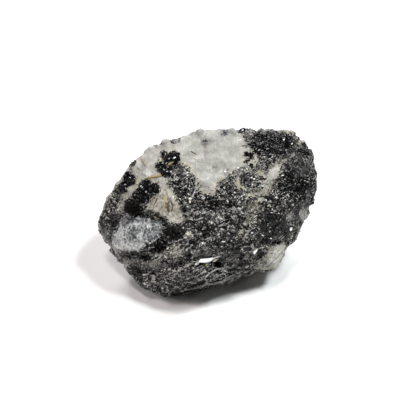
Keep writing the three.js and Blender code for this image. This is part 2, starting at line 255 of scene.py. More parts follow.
# Soft marks: [x, up], reach in mm, and how much lighter or darker the rock is there.
MARKS = [
    # mica showing through the top of the pale face
    ((4, 18.5), (1.25, 0.88), -0.95), ((-0.5, 16.75), (1.12, 0.4), -1),
    ((-0.5, 15.88), (0.75, 0.33), -0.8), ((1.75, 10.25), (1, 0.4), -0.5), ((4.5, 8), (1, 1), -0.6),
    ((-8.25, 16.62), (1.25, 0.38), -0.5), ((8, 14.5), (2, 2), 0.3), ((11.75, 12), (1, 1.5), 0.2),
    ((-4.5, 9), (0.75, 0.5), 0.5), ((3.25, 9.25), (0.62, 0.5), 0.6), ((-15.75, 12), (3, 2.25), 0.34),
    ((-7, 14.5), (3, 1.5), 0.2), ((-19.5, 10), (1.25, 1), -0.6), ((-17.5, 7.5), (0.75, 1.25), -0.2),
    ((-21, 3.5), (1, 1), 0.1), ((-0.5, 5), (1.75, 1.5), -0.1),
    # the white parts of the beige arm
    ((-8.75, 4.25), (1.25, 1.75), 0.26), ((-7.5, -2), (1.5, 1.5), 0.08),
    ((16.75, 9.25), (1.25, 1.75), 0.35),
    # the lens
    ((16.75, -12), (2.75, 2.5), 0.75), ((18, -9.75), (1.75, 0.88), 0.3),
    ((13.5, -14), (1.5, 1.5), 0.3),
    # the white and grey zones of the milky crystal
    ((-14.25, -5.75), (2.5, 2.75), -0.3), ((-21.5, -7.25), (1.5, 2), 0.2),
    ((-19.5, -9.62), (3.5, 1.12), 0.42), ((-18.75, -6.38), (1.38, 1.88), -0.42),
    ((-19.75, -3.12), (2.5, 1.12), -0.34), ((-16.75, -7), (0.38, 2.25), 0.3),
    ((-14.75, -4.5), (0.88, 0.88), 0.35),
    # black schist at the top right and down the right side
    ((15, 17), (6.5, 3.25), -0.95), ((23, 4.5), (5, 7.5), -0.42), ((16.25, -4.5), (4, 3), -0.3),
    ((1.75, 0.5), (6, 2), -0.2), ((-25.5, -3.5), (2, 2.5), -0.1),
    # the smooth rim at lower left
    ((-23, -11), (1.5, 2.25), 0.62), ((-20.25, -13.75), (2.5, 1.25), 0.55),
    # grey schist
    ((19.5, 14), (2.5, 1.25), -0.42), ((22.25, 10.25), (4.25, 3.25), -0.42),
    ((10, 18), (1.5, 1.5), -0.02), ((5.5, -13), (2.25, 2.25), -0.12), ((-1, -11.5), (2.5, 1), -0.1),
    ((4.5, 4.5), (3.25, 2), -0.25),
    # paler schist
    ((-6, 5.5), (3, 3.5), -0.1), ((8, 6.5), (5.5, 3.5), -0.06), ((3.5, -4.5), (5.5, 3), 0),
    ((9.75, -1.5), (2.75, 3.5), 0),
    # beside the knob
    ((-15.75, 0), (1, 1.75), 0.02), ((-21.5, 0.5), (1, 2.25), 0.4), ((-18.75, 0.12), (2, 2), -0.55),
    ((-8.25, -11), (1.75, 2), 0.3), ((3, -14.25), (1, 0.75), -0.9),
    ((13.75, -11.25), (0.88, 0.62), -0.9), ((15, -8.75), (1.75, 0.55), -0.8),
    ((9.5, -12), (0.88, 0.88), 0.5), ((11, -13), (1, 0.75), 0.35), ((5.5, -13.75), (0.75, 0.5), -0.5),
    ((-5, -6.75), (1.25, 1.25), 0.4), ((-12, -12), (2, 1), 0.35), ((-15, -13.5), (5, 1.25), 0.16),
    ((-22, 3), (2.25, 2), 0.1), ((-13.25, -18.5), (5, 2.5), 0.16), ((-3.25, -16), (6.25, 2.25), 0.16),
    ((20.5, -2), (1, 1.25), 0.4), ((24.25, -2), (1.25, 2.5), 0.4), ((22.88, 15.38), (0.75, 0.62), 0.2),
]
# Leaves that end in a ledge, and the gaps under them, which are painted dark as painted shade: the
# run, its half width in mm, how much lighter or darker it is, and how far it stands out in mm.
SEAMS = [
    # the frayed foot
    ([(-11.5, -20.88), (-9.5, -20.88), (-7, -20.75), (-4.5, -20.38), (-2, -19.75), (0, -19.12),
      (2, -18.88), (4, -18.25), (6, -17.5), (8.25, -16.5), (10.25, -15.5)], 0.2, 0.5, 0.05),
    # the ledge that ends in a white flake
    ([(-7.25, -15.75), (-6, -15), (-4.5, -14.25), (-3.25, -13.5), (-2, -13), (1, -12.75),
      (3, -12)], 0.32, 0.85, 0.3),
    ([(-4, -19), (-2.25, -18.25), (-0.75, -17.25), (0.5, -16.25), (1.75, -15.5), (3.5, -15.12),
      (5.25, -14.75)], 0.18, 0.7, 0.2),
    ([(1.25, -17.75), (2.75, -17), (4, -16.12), (6.25, -16)], 0.16, 0.5, 0.1),
    ([(-0.5, -19), (1.5, -18.75), (3.5, -18.25), (5, -17.25), (6.25, -16.62),
      (8, -16)], 0.2, 0.75, 0.18),
    ([(-5.5, -17.75), (-3.75, -17.25), (-2, -16.5), (-0.5, -15.5)], 0.18, 0.45, 0.15),
    # pale leaves on the right
    ([(8.75, -7.75), (9.75, -6.5), (11.25, -5)], 0.2, 0.6, 0.1),
    ([(7.75, -10), (10, -9.5), (12, -10.25), (14.25, -9.75), (16, -9)], 0.17, 0.6, 0.1),
    ([(-6.25, -1.5), (-3.25, -1), (-0.5, -1.25), (2, -1.75)], 0.25, 0.35, 0.1),
    ([(-2.75, 6.75), (-3, 5.25), (-3.25, 4.25), (-3.88, 2.75)], 0.22, 0.7, 0.1),
    ([(0.75, 2), (2.25, 2.12), (4.25, 2.25)], 0.18, 0.5, 0.05),
    ([(-5.25, -2.75), (-3.25, -3.12), (-1.25, -2.5)], 0.22, 0.45, 0.08),
    ([(2, -3.25), (2.75, -4.25), (4, -4.38), (5.25, -3.5)], 0.22, 0.55, 0.08),
    ([(8.25, 9.5), (9.5, 9), (11, 9), (12.25, 8.25)], 0.2, 0.5, 0.08),
    ([(-27.38, -3), (-27, -5.25), (-26, -7.5), (-24.5, -10)], 0.25, 0.4, 0),
    # gaps round the smooth dark body, sunk and painted dark as painted shadow
    ([(20.75, 7.5), (22.25, 7), (24, 6.75), (25.5, 6.25)], 0.35, -0.7, -0.3),
    ([(17.75, 11.5), (19, 11), (19.75, 9.5), (20, 8)], 0.3, -0.4, -0.15),
    # the outline bulges or dips a little here
    ([(8.75, 20.62), (10.5, 20.62)], 2, 0, -2.6),
    ([(3, 19.5), (6.25, 19.5)], 1, 0, 0.5),
    ([(12, 20.12), (13.25, 20.12)], 0.8, 0, 0.6),
    ([(-16, 14.25), (-15.25, 14.75)], 0.8, 0, 0.5),
    ([(16, 19.75), (18.5, 19.75)], 1.8, 0, 0.5),
    ([(-3.5, 19), (-2, 19)], 1.1, 0, 1.05),
    ([(-14.12, 15.12), (-13, 15.38)], 0.9, 0, 0.75),
    ([(-11.5, 16.62), (-10.25, 16.88)], 0.7, 0, 0.4),
    ([(-12.75, 16.12), (-12.25, 16.25)], 0.6, 0, -1.1),
    ([(-8.75, 17.25), (-8.12, 17.25)], 0.9, 0, -3),
    ([(-19.75, 11.5), (-19.25, 11.75)], 1, 0, -2.9),
    ([(-25, 3), (-24, 4.5), (-23, 5.88)], 1.1, 0, 0.45),
    ([(22.5, 18.25), (22.75, 17.62)], 0.8, 0, -4.2),
    ([(21.12, 19.25), (21.62, 18.75)], 0.6, 0, 0.2),
    ([(23.75, 16.38), (24.5, 15.75)], 0.8, 0, 0.6),
    ([(25, 0), (25.25, -1), (24.75, -2.25)], 1.1, 0, -0.7),
    ([(-25.5, -9), (-24.5, -11), (-23.5, -12.5), (-22.25, -13.75)], 1.15, 0, -0.75),
    ([(-18, -19.25), (-17, -20.12)], 0.8, 0, -0.55),
    # the lens is smooth and round below
    ([(12.5, -16.5), (14, -16.75), (15.5, -16.5)], 1.1, 0, -0.55),
    ([(17, -15.25), (18.25, -13.75)], 0.9, 0, 0.45),
    ([(13.5, -14.5), (14.75, -12.75), (16, -11.25), (17.25, -10.12)], 0.16, -0.85, -0.08),
    ([(14.5, -15), (16.25, -13.38), (17.75, -12), (19, -10.75)], 0.16, -0.9, -0.08),
    ([(15.75, -12.25), (16.5, -11.75), (17.75, -10.5)], 0.12, -0.6, 0),
    ([(12.75, -15.25), (13.5, -14.62), (14.5, -13.88)], 0.15, -0.8, -0.05),
    # gaps, sunk and painted dark as painted shade
    ([(-5.75, -20), (-3.75, -19.25), (-2, -19), (-0.25, -18.5)], 0.3, -0.6, -0.25),
    ([(-8, -14), (-6, -13.5), (-4.5, -13), (-2.75, -12.5)], 0.3, -0.35, -0.2),
    ([(1, -13.75), (2.5, -14.25), (3.75, -14.75)], 0.35, -0.7, -0.3),
    ([(-0.75, -16), (1, -14.75), (2, -14.5)], 0.25, -0.4, -0.15),
    ([(-14.5, -16.25), (-12.5, -17), (-10.5, -17.25), (-8.25, -18.25)], 0.25, -0.35, -0.15),
    # pale leaves in the black patch at lower left
    ([(-19.5, -15), (-18.5, -14.62), (-17.5, -14.88)], 0.12, 0.38, 0.1),
    ([(-19, -16.25), (-18, -17.12), (-17, -17.75)], 0.12, 0.38, 0.1),
    ([(4, -10.75), (6, -10.5), (7.5, -11)], 0.25, -0.4, -0.1),
]
# How much of the schist is cream grains instead of black ones: [x, up], reach in mm, share.
SALT_PATCHES = [
    ((-6.25, 6.5), (4.25, 5), 0.14), ((-20, 3.5), (2, 1.5), 0.3), ((-25, -4.25), (2, 2), 0.16),
    ((-8.25, -11), (2.5, 2.25), 0.6), ((-5, -6.75), (1.5, 1.25), 0.5), ((-12, -12), (2.25, 1.25), 0.4),
    ((8.75, 7), (5, 4), 0.11), ((10.5, 0.75), (2.5, 5), 0.16), ((-8, -0.75), (2.25, 3), 0.34),
    ((1.75, -3.5), (6, 3.5), 0.12), ((-2, -16), (7.5, 3), 0.2), ((-14.5, -17.5), (6.5, 3.5), 0.16),
    ((23, 8.25), (4.5, 8.5), 0.07), ((15, 17), (7, 3), 0.01), ((13.5, -10), (3, 1.5), 0.2),
    # specks in the lens
    ((13.75, -13.75), (2.25, 2), 0.6), ((17, -12), (2.25, 2.25), 0.24),
    ((10.75, -12.75), (2, 2), 0.34),
    # specks at the foot of the pale face
    ((-0.5, 4.5), (2.5, 1.75), 0.46), ((14.5, 6), (1.5, 1.75), 0.3), ((10.5, 11.5), (2.5, 3.25), 0.3),
    ((7.5, 9.5), (3, 1.75), 0.16), ((18, -3.5), (4, 5.5), 0.1), ((-16.25, 3), (2.25, 2), 0.25),
]
BASE_SALT = 0.1  # the share outside those patches
# Rounded crystals that bulge out of the face: [x, up], reach and height in mm.
DOMES = [((-18.8, 0.1), 2.0, 1.1)]
# Feldspar on the sides that the viewer doesn't see: x, y, z of its middle, and its reach, in mm.
FELDSPAR_PODS = [
    ((-9, 16, 19), (10, 5, 6)),
    ((-20, 8, 10), (5, 5, 3)),
    ((13, 19, 12), (6, 4, 3)),
    ((22, 14, 22), (4, 4, 2.4)),
    ((2, 13, 4), (7, 6, 2.6)),
    ((-4, -2, 0), (8, 5, 2)),
    ((21, 4, 8), (3, 5, 3)),
]
# Each mineral's outlines, and how far inside them, in mm, it ends where the rock is out of sight.
MINERALS = {
    "feldspar": (FELDSPAR_OUTLINES, 6.0),
    "crystals": (CRYSTAL_OUTLINES, 3.0),
    "black": (BLACK_OUTLINES, 3.0),
    "milky": (MILKY_OUTLINES, 5.0),
    "tan": (TAN_OUTLINES, 3.0),
    "grey": (GREY_OUTLINES, 2.0),
    "beige": (BEIGE_OUTLINES, 8.0),
    "shaded_pocket": (SHADED_POCKET_OUTLINES, 9.0),
}
# Grains of the skin, coarse to fine: the share of their size that they stand out, their size in
# mm, the number of their pattern and how far their faces lean.
FELTED_GRAINS = [(0.15, 2.1, 20, 0.9), (0.26, 1.05, 30, 1.0), (0.26, 0.7, 40, 1.0)]
CLEAVED_GRAINS = [(0.05, 3.6, 50, 0.7), (0.05, 1.5, 60, 0.8)]
MILKY_GRAINS = [(0.1, 1.5, 61, 0.8), (0.17, 0.9, 31, 1.0)]
LEAF_THICKNESS = 1.5  # mm from one leaf of the schist to the next
# How far these stand out of the skin or sink into it, in mm.
LEAF_HEIGHT = 0.25
CRYSTAL_HEIGHT = 0.28
SWELL_HEIGHT = 0.12
POCKET_DEPTH = 0.9


def share_of(cells, pattern):
    """A number from 0 to 1 for each lattice cell, which looks random but is always the same."""
    mixed = (cells.astype(np.int64) * np.array([374761393, 668265263, 1274126177])).sum(-1)
    mixed = (mixed + pattern * 362437) & 0xFFFFFFFF
    mixed = ((mixed ^ (mixed >> 13)) * 1103515245) & 0xFFFFFFFF
    mixed = ((mixed ^ (mixed >> 16)) * 2246822519) & 0xFFFFFFFF
    return (mixed ^ (mixed >> 15)) / 2.0**32


def smooth(value, low, high):
    """From 0 at low to 1 at high, with soft ends."""
    part = np.clip((value - low) / (high - low), 0.0, 1.0)
    return part * part * (3.0 - 2.0 * part)


def swell(points, size, pattern):
    """Soft hills and dips between -1 and 1, about size mm apart."""
    scaled = points / size
    base = np.floor(scaled)
    part = scaled - base
    part = part * part * (3.0 - 2.0 * part)
    total = 0.0
    for corner in np.ndindex(2, 2, 2):
        weight = np.prod(np.where(corner, part, 1.0 - part), axis=-1)
        total = total + weight * share_of(base + corner, pattern)
    return total * 2.0 - 1.0


def broken_grains(points, size, pattern, lean):
    """The height, in mm, of grains about size mm across: each a flat face with its own lean."""
    scaled = points / size
    base = np.floor(scaled)
    nearest = np.full(len(points), np.inf)
    height = np.zeros(len(points))
    for step in np.ndindex(3, 3, 3):
        cell = base + (np.array(step) - 1)
        seed = cell + np.stack([share_of(cell, pattern + axis) for axis in range(3)], -1)
        offset = scaled - seed
        distance = np.linalg.norm(offset, axis=-1)
        tilt = np.stack([share_of(cell, pattern + 3 + axis) for axis in range(3)], -1) - 0.5
        face = (offset * tilt).sum(-1) * 2.0 * lean + (share_of(cell, pattern + 6) - 0.5) * 0.6
        height = np.where(distance < nearest, face, height)
        nearest = np.minimum(nearest, distance)
    return height * size


def grain_relief(points, grains):
    """The height, in mm, of several sizes of grains laid over each other."""
    return sum(share * broken_grains(points, *grain) for share, *grain in grains)


def distance_to(places, start, end):
    """How far each place lies from the straight run between two points, in mm."""
    run = end - start
    along = np.clip((places - start) @ run / (run @ run), 0.0, 1.0)
    return np.linalg.norm(places - start - along[:, None] * run, axis=1)


def near_run(places, run, half_width):
    """1 along a run of straight stretches and 0 past its half width, with a soft edge."""
    stretches = zip(np.array(run[:-1]), np.array(run[1:]))
    away = np.min([distance_to(places, start, end) for start, end in stretches], axis=0)
    return np.exp(-((away / half_width) ** 4))


def depth_inside(places, outline):
    """How far inside a closed outline each place lies, in mm. It is negative outside."""
    corners = np.array(outline)
    nearest = np.full(len(places), np.inf)
    inside = np.zeros(len(places), bool)
    for start, end in zip(corners, np.roll(corners, -1, axis=0)):
        nearest = np.minimum(nearest, distance_to(places, start, end))
        crosses = (start[1] > places[:, 1]) != (end[1] > places[:, 1])
        rise = (end[1] - start[1]) or 1e-9
        reach = start[0] + (places[:, 1] - start[1]) * (end[0] - start[0]) / rise
        inside ^= crosses & (places[:, 0] < reach)
    return np.where(inside, nearest, -nearest)


def blended(places, patches, base, hidden):
    """A value that is base, but takes each patch's own amount inside that patch."""
    value = base
    for (at_x, at_up), (half_x, half_up), amount in patches:
        reach = np.hypot((places[:, 0] - at_x) / half_x, (places[:, 1] - at_up) / half_up)
        weight = (1.0 - smooth(reach, 0.35, 1.25)) * (1.0 - hidden)
        value = value * (1.0 - weight) + amount * weight
    return value


def in_sight(points):
    """Where the viewer sees each point: mm right of and above the middle of sight."""
    offset = points - np.array(show_side_middle) / MM
    nearness = SIGHT_DISTANCE / MM / (SIGHT_DISTANCE / MM - offset @ toward)
    return np.stack([offset[:, 0], offset @ np.array(up_in_sight)], -1) * nearness[:, None]


def points_of(mesh):
    coords = np.empty(len(mesh.vertices) * 3, np.float32)
    mesh.vertices.foreach_get("co", coords)
    return coords.reshape(-1, 3).astype(float) / MM


def normals_of(mesh):
    directions = np.empty(len(mesh.vertices) * 3, np.float32)
    mesh.vertex_normals.foreach_get("vector", directions)
    return directions.reshape(-1, 3).astype(float)


def minerals_at(points, facing):
    """What the rock is made of at each point. Depths are mm inside that mineral's border."""
    hidden = smooth(-facing, 0.02, 0.55)
    seen = 1.0 - hidden
    # Borders are ragged by 0.22 mm. They wander 0.1 mm in sight, and 4 mm more out of it.
    drift = np.stack([swell(points, 7.0, 11), swell(points, 7.0, 12)], -1)
    ragged = np.stack([swell(points, 1.1, 13), swell(points, 1.1, 14)], -1)
    places = in_sight(points) + drift * (0.1 + 4.0 * hidden[:, None]) + ragged * 0.22
    found = {}
    for name, (outlines, ending) in MINERALS.items():
        depths = [depth_inside(places, outline) for outline in outlines]
        found[name] = np.max(depths, axis=0) - ending * hidden

    # The pods count only where the rock has turned from sight. Their borders wander by up to 4 mm.
    wobble = 2.2 * swell(points, 5.0, 15)[:, None] + 2.0 * swell(points, 2.2, 23)[:, None]
    pods = [
        4.0 - 4.0 * np.linalg.norm((points + wobble - middle) / reach, axis=1)
        for middle, reach in FELDSPAR_PODS
    ]
    pale = np.maximum(found["feldspar"], np.where(hidden > 0.3, np.max(pods, axis=0), -9.0))
    black = np.maximum(found["black"], found["crystals"])

    # Out of sight the cream grains follow the leaves, and all the rock is a little blotchy.
    leaf_depth = points @ LEAF_NORMAL + swell(points, 6.0, 16)
    leaf = swell(leaf_depth[:, None] * np.ones(3), 1.7, 17)
    salt = blended(places, SALT_PATCHES, BASE_SALT, hidden)
    salt = np.clip(salt + 0.2 * leaf * hidden, 0.0, 1.0) * (1.0 - 0.8 * smooth(black, -0.2, 0.4))
    tone = blended(places, MARKS, 0.0, hidden)
    tone = tone + 0.09 * swell(points, 3.2, 18) + 0.08 * swell(points, 1.6, 22)
    tone = tone + 0.25 * swell(points, 4.0, 19) * hidden

    vein, lift = np.zeros(len(points)), np.zeros(len(points))
    for (at_x, at_up), reach, rise in DOMES:
        away = np.hypot(places[:, 0] - at_x, places[:, 1] - at_up) / reach
        lift = lift + rise * np.sqrt(np.clip(1.0 - away**2, 0.0, 1.0)) * seen
    for run, half_width, amount, rise in SEAMS:
        weight = near_run(places, run, half_width) * seen
        tone = tone + min(amount, 0.0) * weight
        vein = np.maximum(vein, max(amount, 0.0) * weight)
        lift = lift + rise * weight
        # Under a leaf that ends in a ledge, the gap is sunk and painted darker: painted shadow under
        # the ledge.
        if amount > 0.0:  # the dark gap under a leaf that ends in a ledge
            under = places + np.array([0.0, 1.8 * half_width])
            shadowed_gap = near_run(under, run, half_width) * seen * (1.0 - weight)
            tone = tone - 0.8 * amount * shadowed_gap
            lift = lift - 0.5 * rise * shadowed_gap
    # Rims that are seen nearly edge on get a pale painted highlight in places, and the feldspar is
    # made greyer there.
    rim_seen_edge_on = (1.0 - smooth(facing, 0.0, 0.3)) * seen
    vein = np.maximum(vein, 0.5 * rim_seen_edge_on * smooth(swell(points, 2.2, 21), -0.5, 0.2))
    tone = tone - 0.35 * rim_seen_edge_on * smooth(pale, 0.0, 0.3)
    found.update(feldspar=np.minimum(pale, -black), black=black)
    found.update(salt=salt, tone=tone, vein=vein, lift=lift)
    return found


bpy.ops.object.select_all(action="DESELECT")
solid = frame["nodes"]["labradorite_stone"]
stone = solid.copy()
stone.data = solid.data.copy()
stone.name = "raw_labradorite"
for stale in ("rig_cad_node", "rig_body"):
    if stale in stone:
        del stone[stale]
bpy.context.scene.collection.objects.link(stone)
stone.parent = None
bpy.context.view_layer.objects.active = stone
stone.select_set(True)
bpy.ops.object.mode_set(mode="EDIT")
bpy.ops.mesh.select_all(action="SELECT")
bpy.ops.mesh.remove_doubles(threshold=0.001 * MM)
bpy.ops.mesh.subdivide(number_cuts=1, smoothness=0.6)
bpy.ops.mesh.normals_make_consistent(inside=False)
bpy.ops.object.mode_set(mode="OBJECT")
skin = stone.modifiers.new("skin", "REMESH")
skin.mode = "VOXEL"
skin.voxel_size = SKIN_STEP * MM
bpy.ops.object.modifier_apply(modifier="skin")
wear = stone.modifiers.new("wear", "SMOOTH")
wear.factor = 0.5
wear.iterations = WEAR_PASSES
bpy.ops.object.modifier_apply(modifier="wear")

worn = points_of(stone.data)
outward = normals_of(stone.data)
facing = outward @ toward
minerals = minerals_at(worn, facing)
# From 0 to 1, how far each place is pale rock, milky crystal, worn level, low on the stone, at
# its outline as seen, and leafy schist.
pale = smooth(np.maximum(minerals["feldspar"], minerals["milky"]), -0.2, 0.5)
milky = smooth(minerals["milky"], -0.1, 0.5)
calm = 0.6 * smooth(minerals["grey"], -0.4, 0.4)
lower = smooth(-in_sight(worn)[:, 1], 7.0, 12.0)
in_profile = 1.0 - smooth(np.abs(facing), 0.05, 0.4)
leafy = np.maximum(lower, smooth(-facing, 0.0, 0.4)) * (1.0 - pale)

# Each leaf of the schist slopes up slowly and ends in a short step down to the next.
leaf_turns = worn @ LEAF_NORMAL / LEAF_THICKNESS + swell(worn, 5.0, 70) * 0.8
leaf_part = leaf_turns - np.floor(leaf_turns)
leaf_step = smooth(leaf_part, 0.0, 0.75) - smooth(leaf_part, 0.75, 1.0)
felted = grain_relief(worn, FELTED_GRAINS)
cleaved = grain_relief(worn, CLEAVED_GRAINS) + 0.06 * swell(worn, 1.4, 71)

relief = (1.0 - pale) * (1.0 - calm) * (1.0 - 0.7 * minerals["vein"]) * felted
relief += leafy * (leaf_step - 0.4) * LEAF_HEIGHT
relief += pale * (1.0 - milky) * cleaved
relief += milky * grain_relief(worn, MILKY_GRAINS)
relief += CRYSTAL_HEIGHT * smooth(minerals["crystals"], -0.3, 0.7)
relief -= POCKET_DEPTH * smooth(minerals["shaded_pocket"], -0.3, 0.8)
relief += SWELL_HEIGHT * swell(worn, 2.6, 72)
relief *= 1.0 - 0.7 * in_profile
relief += minerals["lift"]
relief *= smooth(worn[:, 2], 0.0, SEAT_BAND * 2.0)
broken = worn + outward * relief[:, None]
broken[:, 2] = np.maximum(broken[:, 2], 0.0)
stone.data.vertices.foreach_set("co", (broken * MM).astype(np.float32).ravel())
stone.data.update()

# Painted shade: the gaps between grains are painted darker than their tops, where shade falls
# and some dust gathers.
minerals["tone"] += 1.1 * np.clip(felted, -0.4, 0.3) * (1.0 - pale)
for name in ("feldspar", "black", "milky", "tan", "grey", "beige", "shaded_pocket", "salt", "tone", "vein"):
    layer = stone.data.attributes.new(name, "FLOAT", "POINT")
    layer.data.foreach_set("value", np.clip(minerals[name], -4.0, 4.0).astype(np.float32))

bpy.ops.object.shade_smooth_by_angle(angle=GRAIN_ANGLE)


def linear(code):
    """The sRGB colour with this hex code, as the linear values that a shader takes."""
    parts = [int(code[i : i + 2], 16) / 255.0 for i in (1, 3, 5)]
    return [p / 12.92 if p <= 0.04045 else ((p + 0.055) / 1.055) ** 2.4 for p in parts] + [1.0]


def new_material(name):
    material = bpy.data.materials.new(name)
    material.use_nodes = True
    material.node_tree.nodes.clear()
    return material


def add_node(material, kind, *inputs, out=None, **settings):
    """Adds a node with its settings. Its open inputs are joined or set in order, None left out.
    Gives the output called out, or the first one."""
    node = material.node_tree.nodes.new("ShaderNode" + kind)
    for key, value in settings.items():
        setattr(node, key, value)
    for socket, value in zip([socket for socket in node.inputs if socket.enabled], inputs):
        if isinstance(value, bpy.types.NodeSocket):
            material.node_tree.links.new(value, socket)
        elif value is not None:
            socket.default_value = value
    open_outputs = [socket for socket in node.outputs if socket.enabled]
    return node.outputs[out] if out else (open_outputs or [node])[0]


def fill_ramp(ramp_output, low, high, between):
    """Gives a colour ramp its hex colours: at 0, at 1, and at the places between them."""
    stops = ramp_output.node.color_ramp.elements
    stops[0].color = linear(low)
    stops[1].color = linear(high)
    for position, code in between.items():
        stops.new(position).color = linear(code)


# Mica schist with feldspar: black mica cleaves into bright flat grains, so each grain has a lean
# of its own and glints alone. Feldspar is milky white with a satin, slightly uneven break, and
# goes creamy where iron from the mica has stained it.
MICA_GRAIN = 0.3  # mm
MICA_BEND = 3.0  # mm: how far its leaves bend, and from one bend to the next
MICA_TURN = (0.25, -0.3, 0.0)  # how the leaves lie in the stone, in radians about X, Y and Z
MICA_STRETCH = (2.0, 1.3, 0.85)  # how much longer than its size a grain is along each axis
STREAK_WIDTH = 0.42  # mm across the fine streaks of the feldspar
STREAK_TURN = (0.3, 0.5, 0.7)  # radians
STREAK_STRETCH = (1.0, 0.22, 0.5)  # how fast they change along each axis
# Bright leaf edges: mm between their bends, and how far from the noise's middle value they reach.
STRANDS = {0.7: 0.05, 1.5: 0.035}
# How ragged each mineral's border is, the depths in mm between which it fades in, and how much
# it hides of what lies under it.
BORDERS = {
    "feldspar": (1.0, -0.05, 0.05, 1.0),
    "milky": (0.6, -0.1, 0.1, 1.0),
    "tan": (1.5, -0.15, 0.25, 0.64),
    "grey": (1.0, -0.2, 0.4, 0.74),
    "beige": (0.4, -0.8, 0.9, 1.0),
    "black": (0.8, -0.15, 0.25, 0.97),
    "shaded_pocket": (0.6, -0.35, 0.35, 0.75),
}
# Painted glints: a share of the grains is painted near white where light would glint.
PAINTED_GLINT_SHARE = 0.015  # of all grains are bright specks
BUMP_HEIGHT = 0.12 * MM
MICA_IOR = 1.36
rock = new_material("mica schist with feldspar")
place = add_node(rock, "TexCoord", out="Object")
in_mm = add_node(rock, "VectorMath", place, (1.0 / MM,) * 3, operation="MULTIPLY")
bend = add_node(rock, "TexNoise", in_mm, 1.0 / MICA_BEND, 1.0, out="Color")
bent = add_node(rock, "VectorMath", bend, (MICA_BEND,) * 3, in_mm, operation="MULTIPLY_ADD")
drawn_out = add_node(rock, "Mapping", bent, None, MICA_TURN, MICA_STRETCH, vector_type="TEXTURE")
grain = add_node(rock, "TexVoronoi", drawn_out, 1.0 / MICA_GRAIN, out="Color")
salt_pick, grain_shade, edge_pick = add_node(rock, "SeparateColor", grain).node.outputs
clouds = {  # soft blotches by their size in mm
    size: add_node(rock, "TexNoise", in_mm, 1.0 / size, 4.0, 0.6) for size in (0.3, 0.7, 1.3)
}
speckle = add_node(rock, "MapRange", clouds[0.3], 0.35, 0.65)
# Every border frays along the grains and blotches.
frayed = add_node(rock, "Math", clouds[0.7], 1.6, -1.35, operation="MULTIPLY_ADD")
frayed = add_node(rock, "Math", edge_pick, 1.1, frayed, operation="MULTIPLY_ADD")
depth, share = {}, {}
for name, (ragged, low, high, most) in BORDERS.items():
    inside = add_node(rock, "Attribute", attribute_name=name, out="Fac")
    depth[name] = add_node(rock, "Math", frayed, ragged, inside, operation="MULTIPLY_ADD")
    share[name] = add_node(
        rock, "MapRange", depth[name], low, high, 0.0, most, interpolation_type="SMOOTHSTEP"
    )
tone, vein, salt = (
    add_node(rock, "Attribute", attribute_name=name, out="Fac") for name in ("tone", "vein", "salt")
)

# The schist: each grain between black and grey, with a share of cream feldspar grains. Leaves of
# mica that stand on edge run through it as thin bright strands.
shade = add_node(rock, "Math", clouds[0.3], 1.45, -0.98, operation="MULTIPLY_ADD")
shade = add_node(rock, "Math", grain_shade, 0.9, shade, operation="MULTIPLY_ADD")
shade = add_node(rock, "Math", shade, tone, operation="ADD")
mica_colour = add_node(rock, "ValToRGB", shade)
fill_ramp(mica_colour, "#070708", "#b4b4b2", {0.35: "#0c0c0e", 0.6: "#202123", 0.8: "#535455"})
strand = 0.0
for size, width in STRANDS.items():
    wander = add_node(rock, "TexNoise", drawn_out, 1.0 / size, 2.0, 0.6)
    off_line = add_node(rock, "Math", wander, 0.5, operation="SUBTRACT")
    off_line = add_node(rock, "Math", off_line, operation="ABSOLUTE")
    leaf_edge = add_node(rock, "MapRange", off_line, 0.0, width, 1.0, 0.0)
    strand = add_node(rock, "Math", leaf_edge, strand, operation="MAXIMUM")
uncovered = add_node(rock, "MapRange", shade, 0.2, 0.7)
strand = add_node(rock, "Math", strand, uncovered, operation="MULTIPLY")
is_salt = add_node(rock, "Math", salt, salt_pick, operation="GREATER_THAN")
is_painted_glint = add_node(rock, "Math", edge_pick, 1.0 - PAINTED_GLINT_SHARE, operation="GREATER_THAN")
worn_shade = add_node(rock, "Math", speckle, 0.5, tone, operation="MULTIPLY_ADD")
# Pale leaves, with the pale painted highlight that rims seen edge on get.
pale_leaf_and_rim_highlight = add_node(rock, "Math", frayed, 0.5, vein, operation="MULTIPLY_ADD")
pale_leaf_and_rim_highlight = add_node(rock, "MapRange", pale_leaf_and_rim_highlight, 0.25, 0.55, interpolation_type="SMOOTHSTEP")

# Feldspar: cloudy white with fine streaks, cream near the schist, beige and fibrous in one arm,
# and grey or black where a mark says that mica shows through it.
streak_place = add_node(rock, "Mapping", in_mm, None, STREAK_TURN, STREAK_STRETCH)
streaks = add_node(rock, "TexNoise", streak_place, 1.0 / STREAK_WIDTH, 5.0, 0.7)
dark_streak = add_node(rock, "MapRange", streaks, 0.52, 0.7, 0.0, 0.7)
pale_streak = add_node(rock, "MapRange", streaks, 0.46, 0.32, 0.0, 0.65)
mottle = add_node(rock, "MapRange", clouds[1.3], 0.1, 0.9)
mottle = add_node(rock, "Math", clouds[0.3], 0.9, mottle, operation="MULTIPLY_ADD")
mottle = add_node(rock, "Math", mottle, 0.45, operation="SUBTRACT")
mottle = add_node(rock, "Math", mottle, tone, operation="ADD")
whiteness = add_node(rock, "MapRange", mottle)
brightest = add_node(rock, "MapRange", mottle, 0.9, 1.5)
near_edge = add_node(rock, "MapRange", depth["feldspar"], 0.05, 1.1, 1.0, 0.0)
stain = add_node(rock, "MapRange", clouds[1.3], 0.42, 0.6)
stain = add_node(rock, "Math", stain, near_edge, operation="MULTIPLY")
stain = add_node(rock, "Math", stain, 0.75, operation="MULTIPLY")
fibres = add_node(rock, "Math", clouds[0.7], 1.2, streaks, operation="MULTIPLY_ADD")
fibres = add_node(rock, "Math", fibres, tone, operation="ADD")
fibres = add_node(rock, "MapRange", fibres, 0.88, 1.26)
pepper = add_node(rock, "Math", salt, BASE_SALT, operation="SUBTRACT")
is_pepper = add_node(rock, "Math", pepper, salt_pick, operation="GREATER_THAN")
spotted = add_node(rock, "MapRange", clouds[0.7], 0.36, 0.62, 1.7, 0.2)
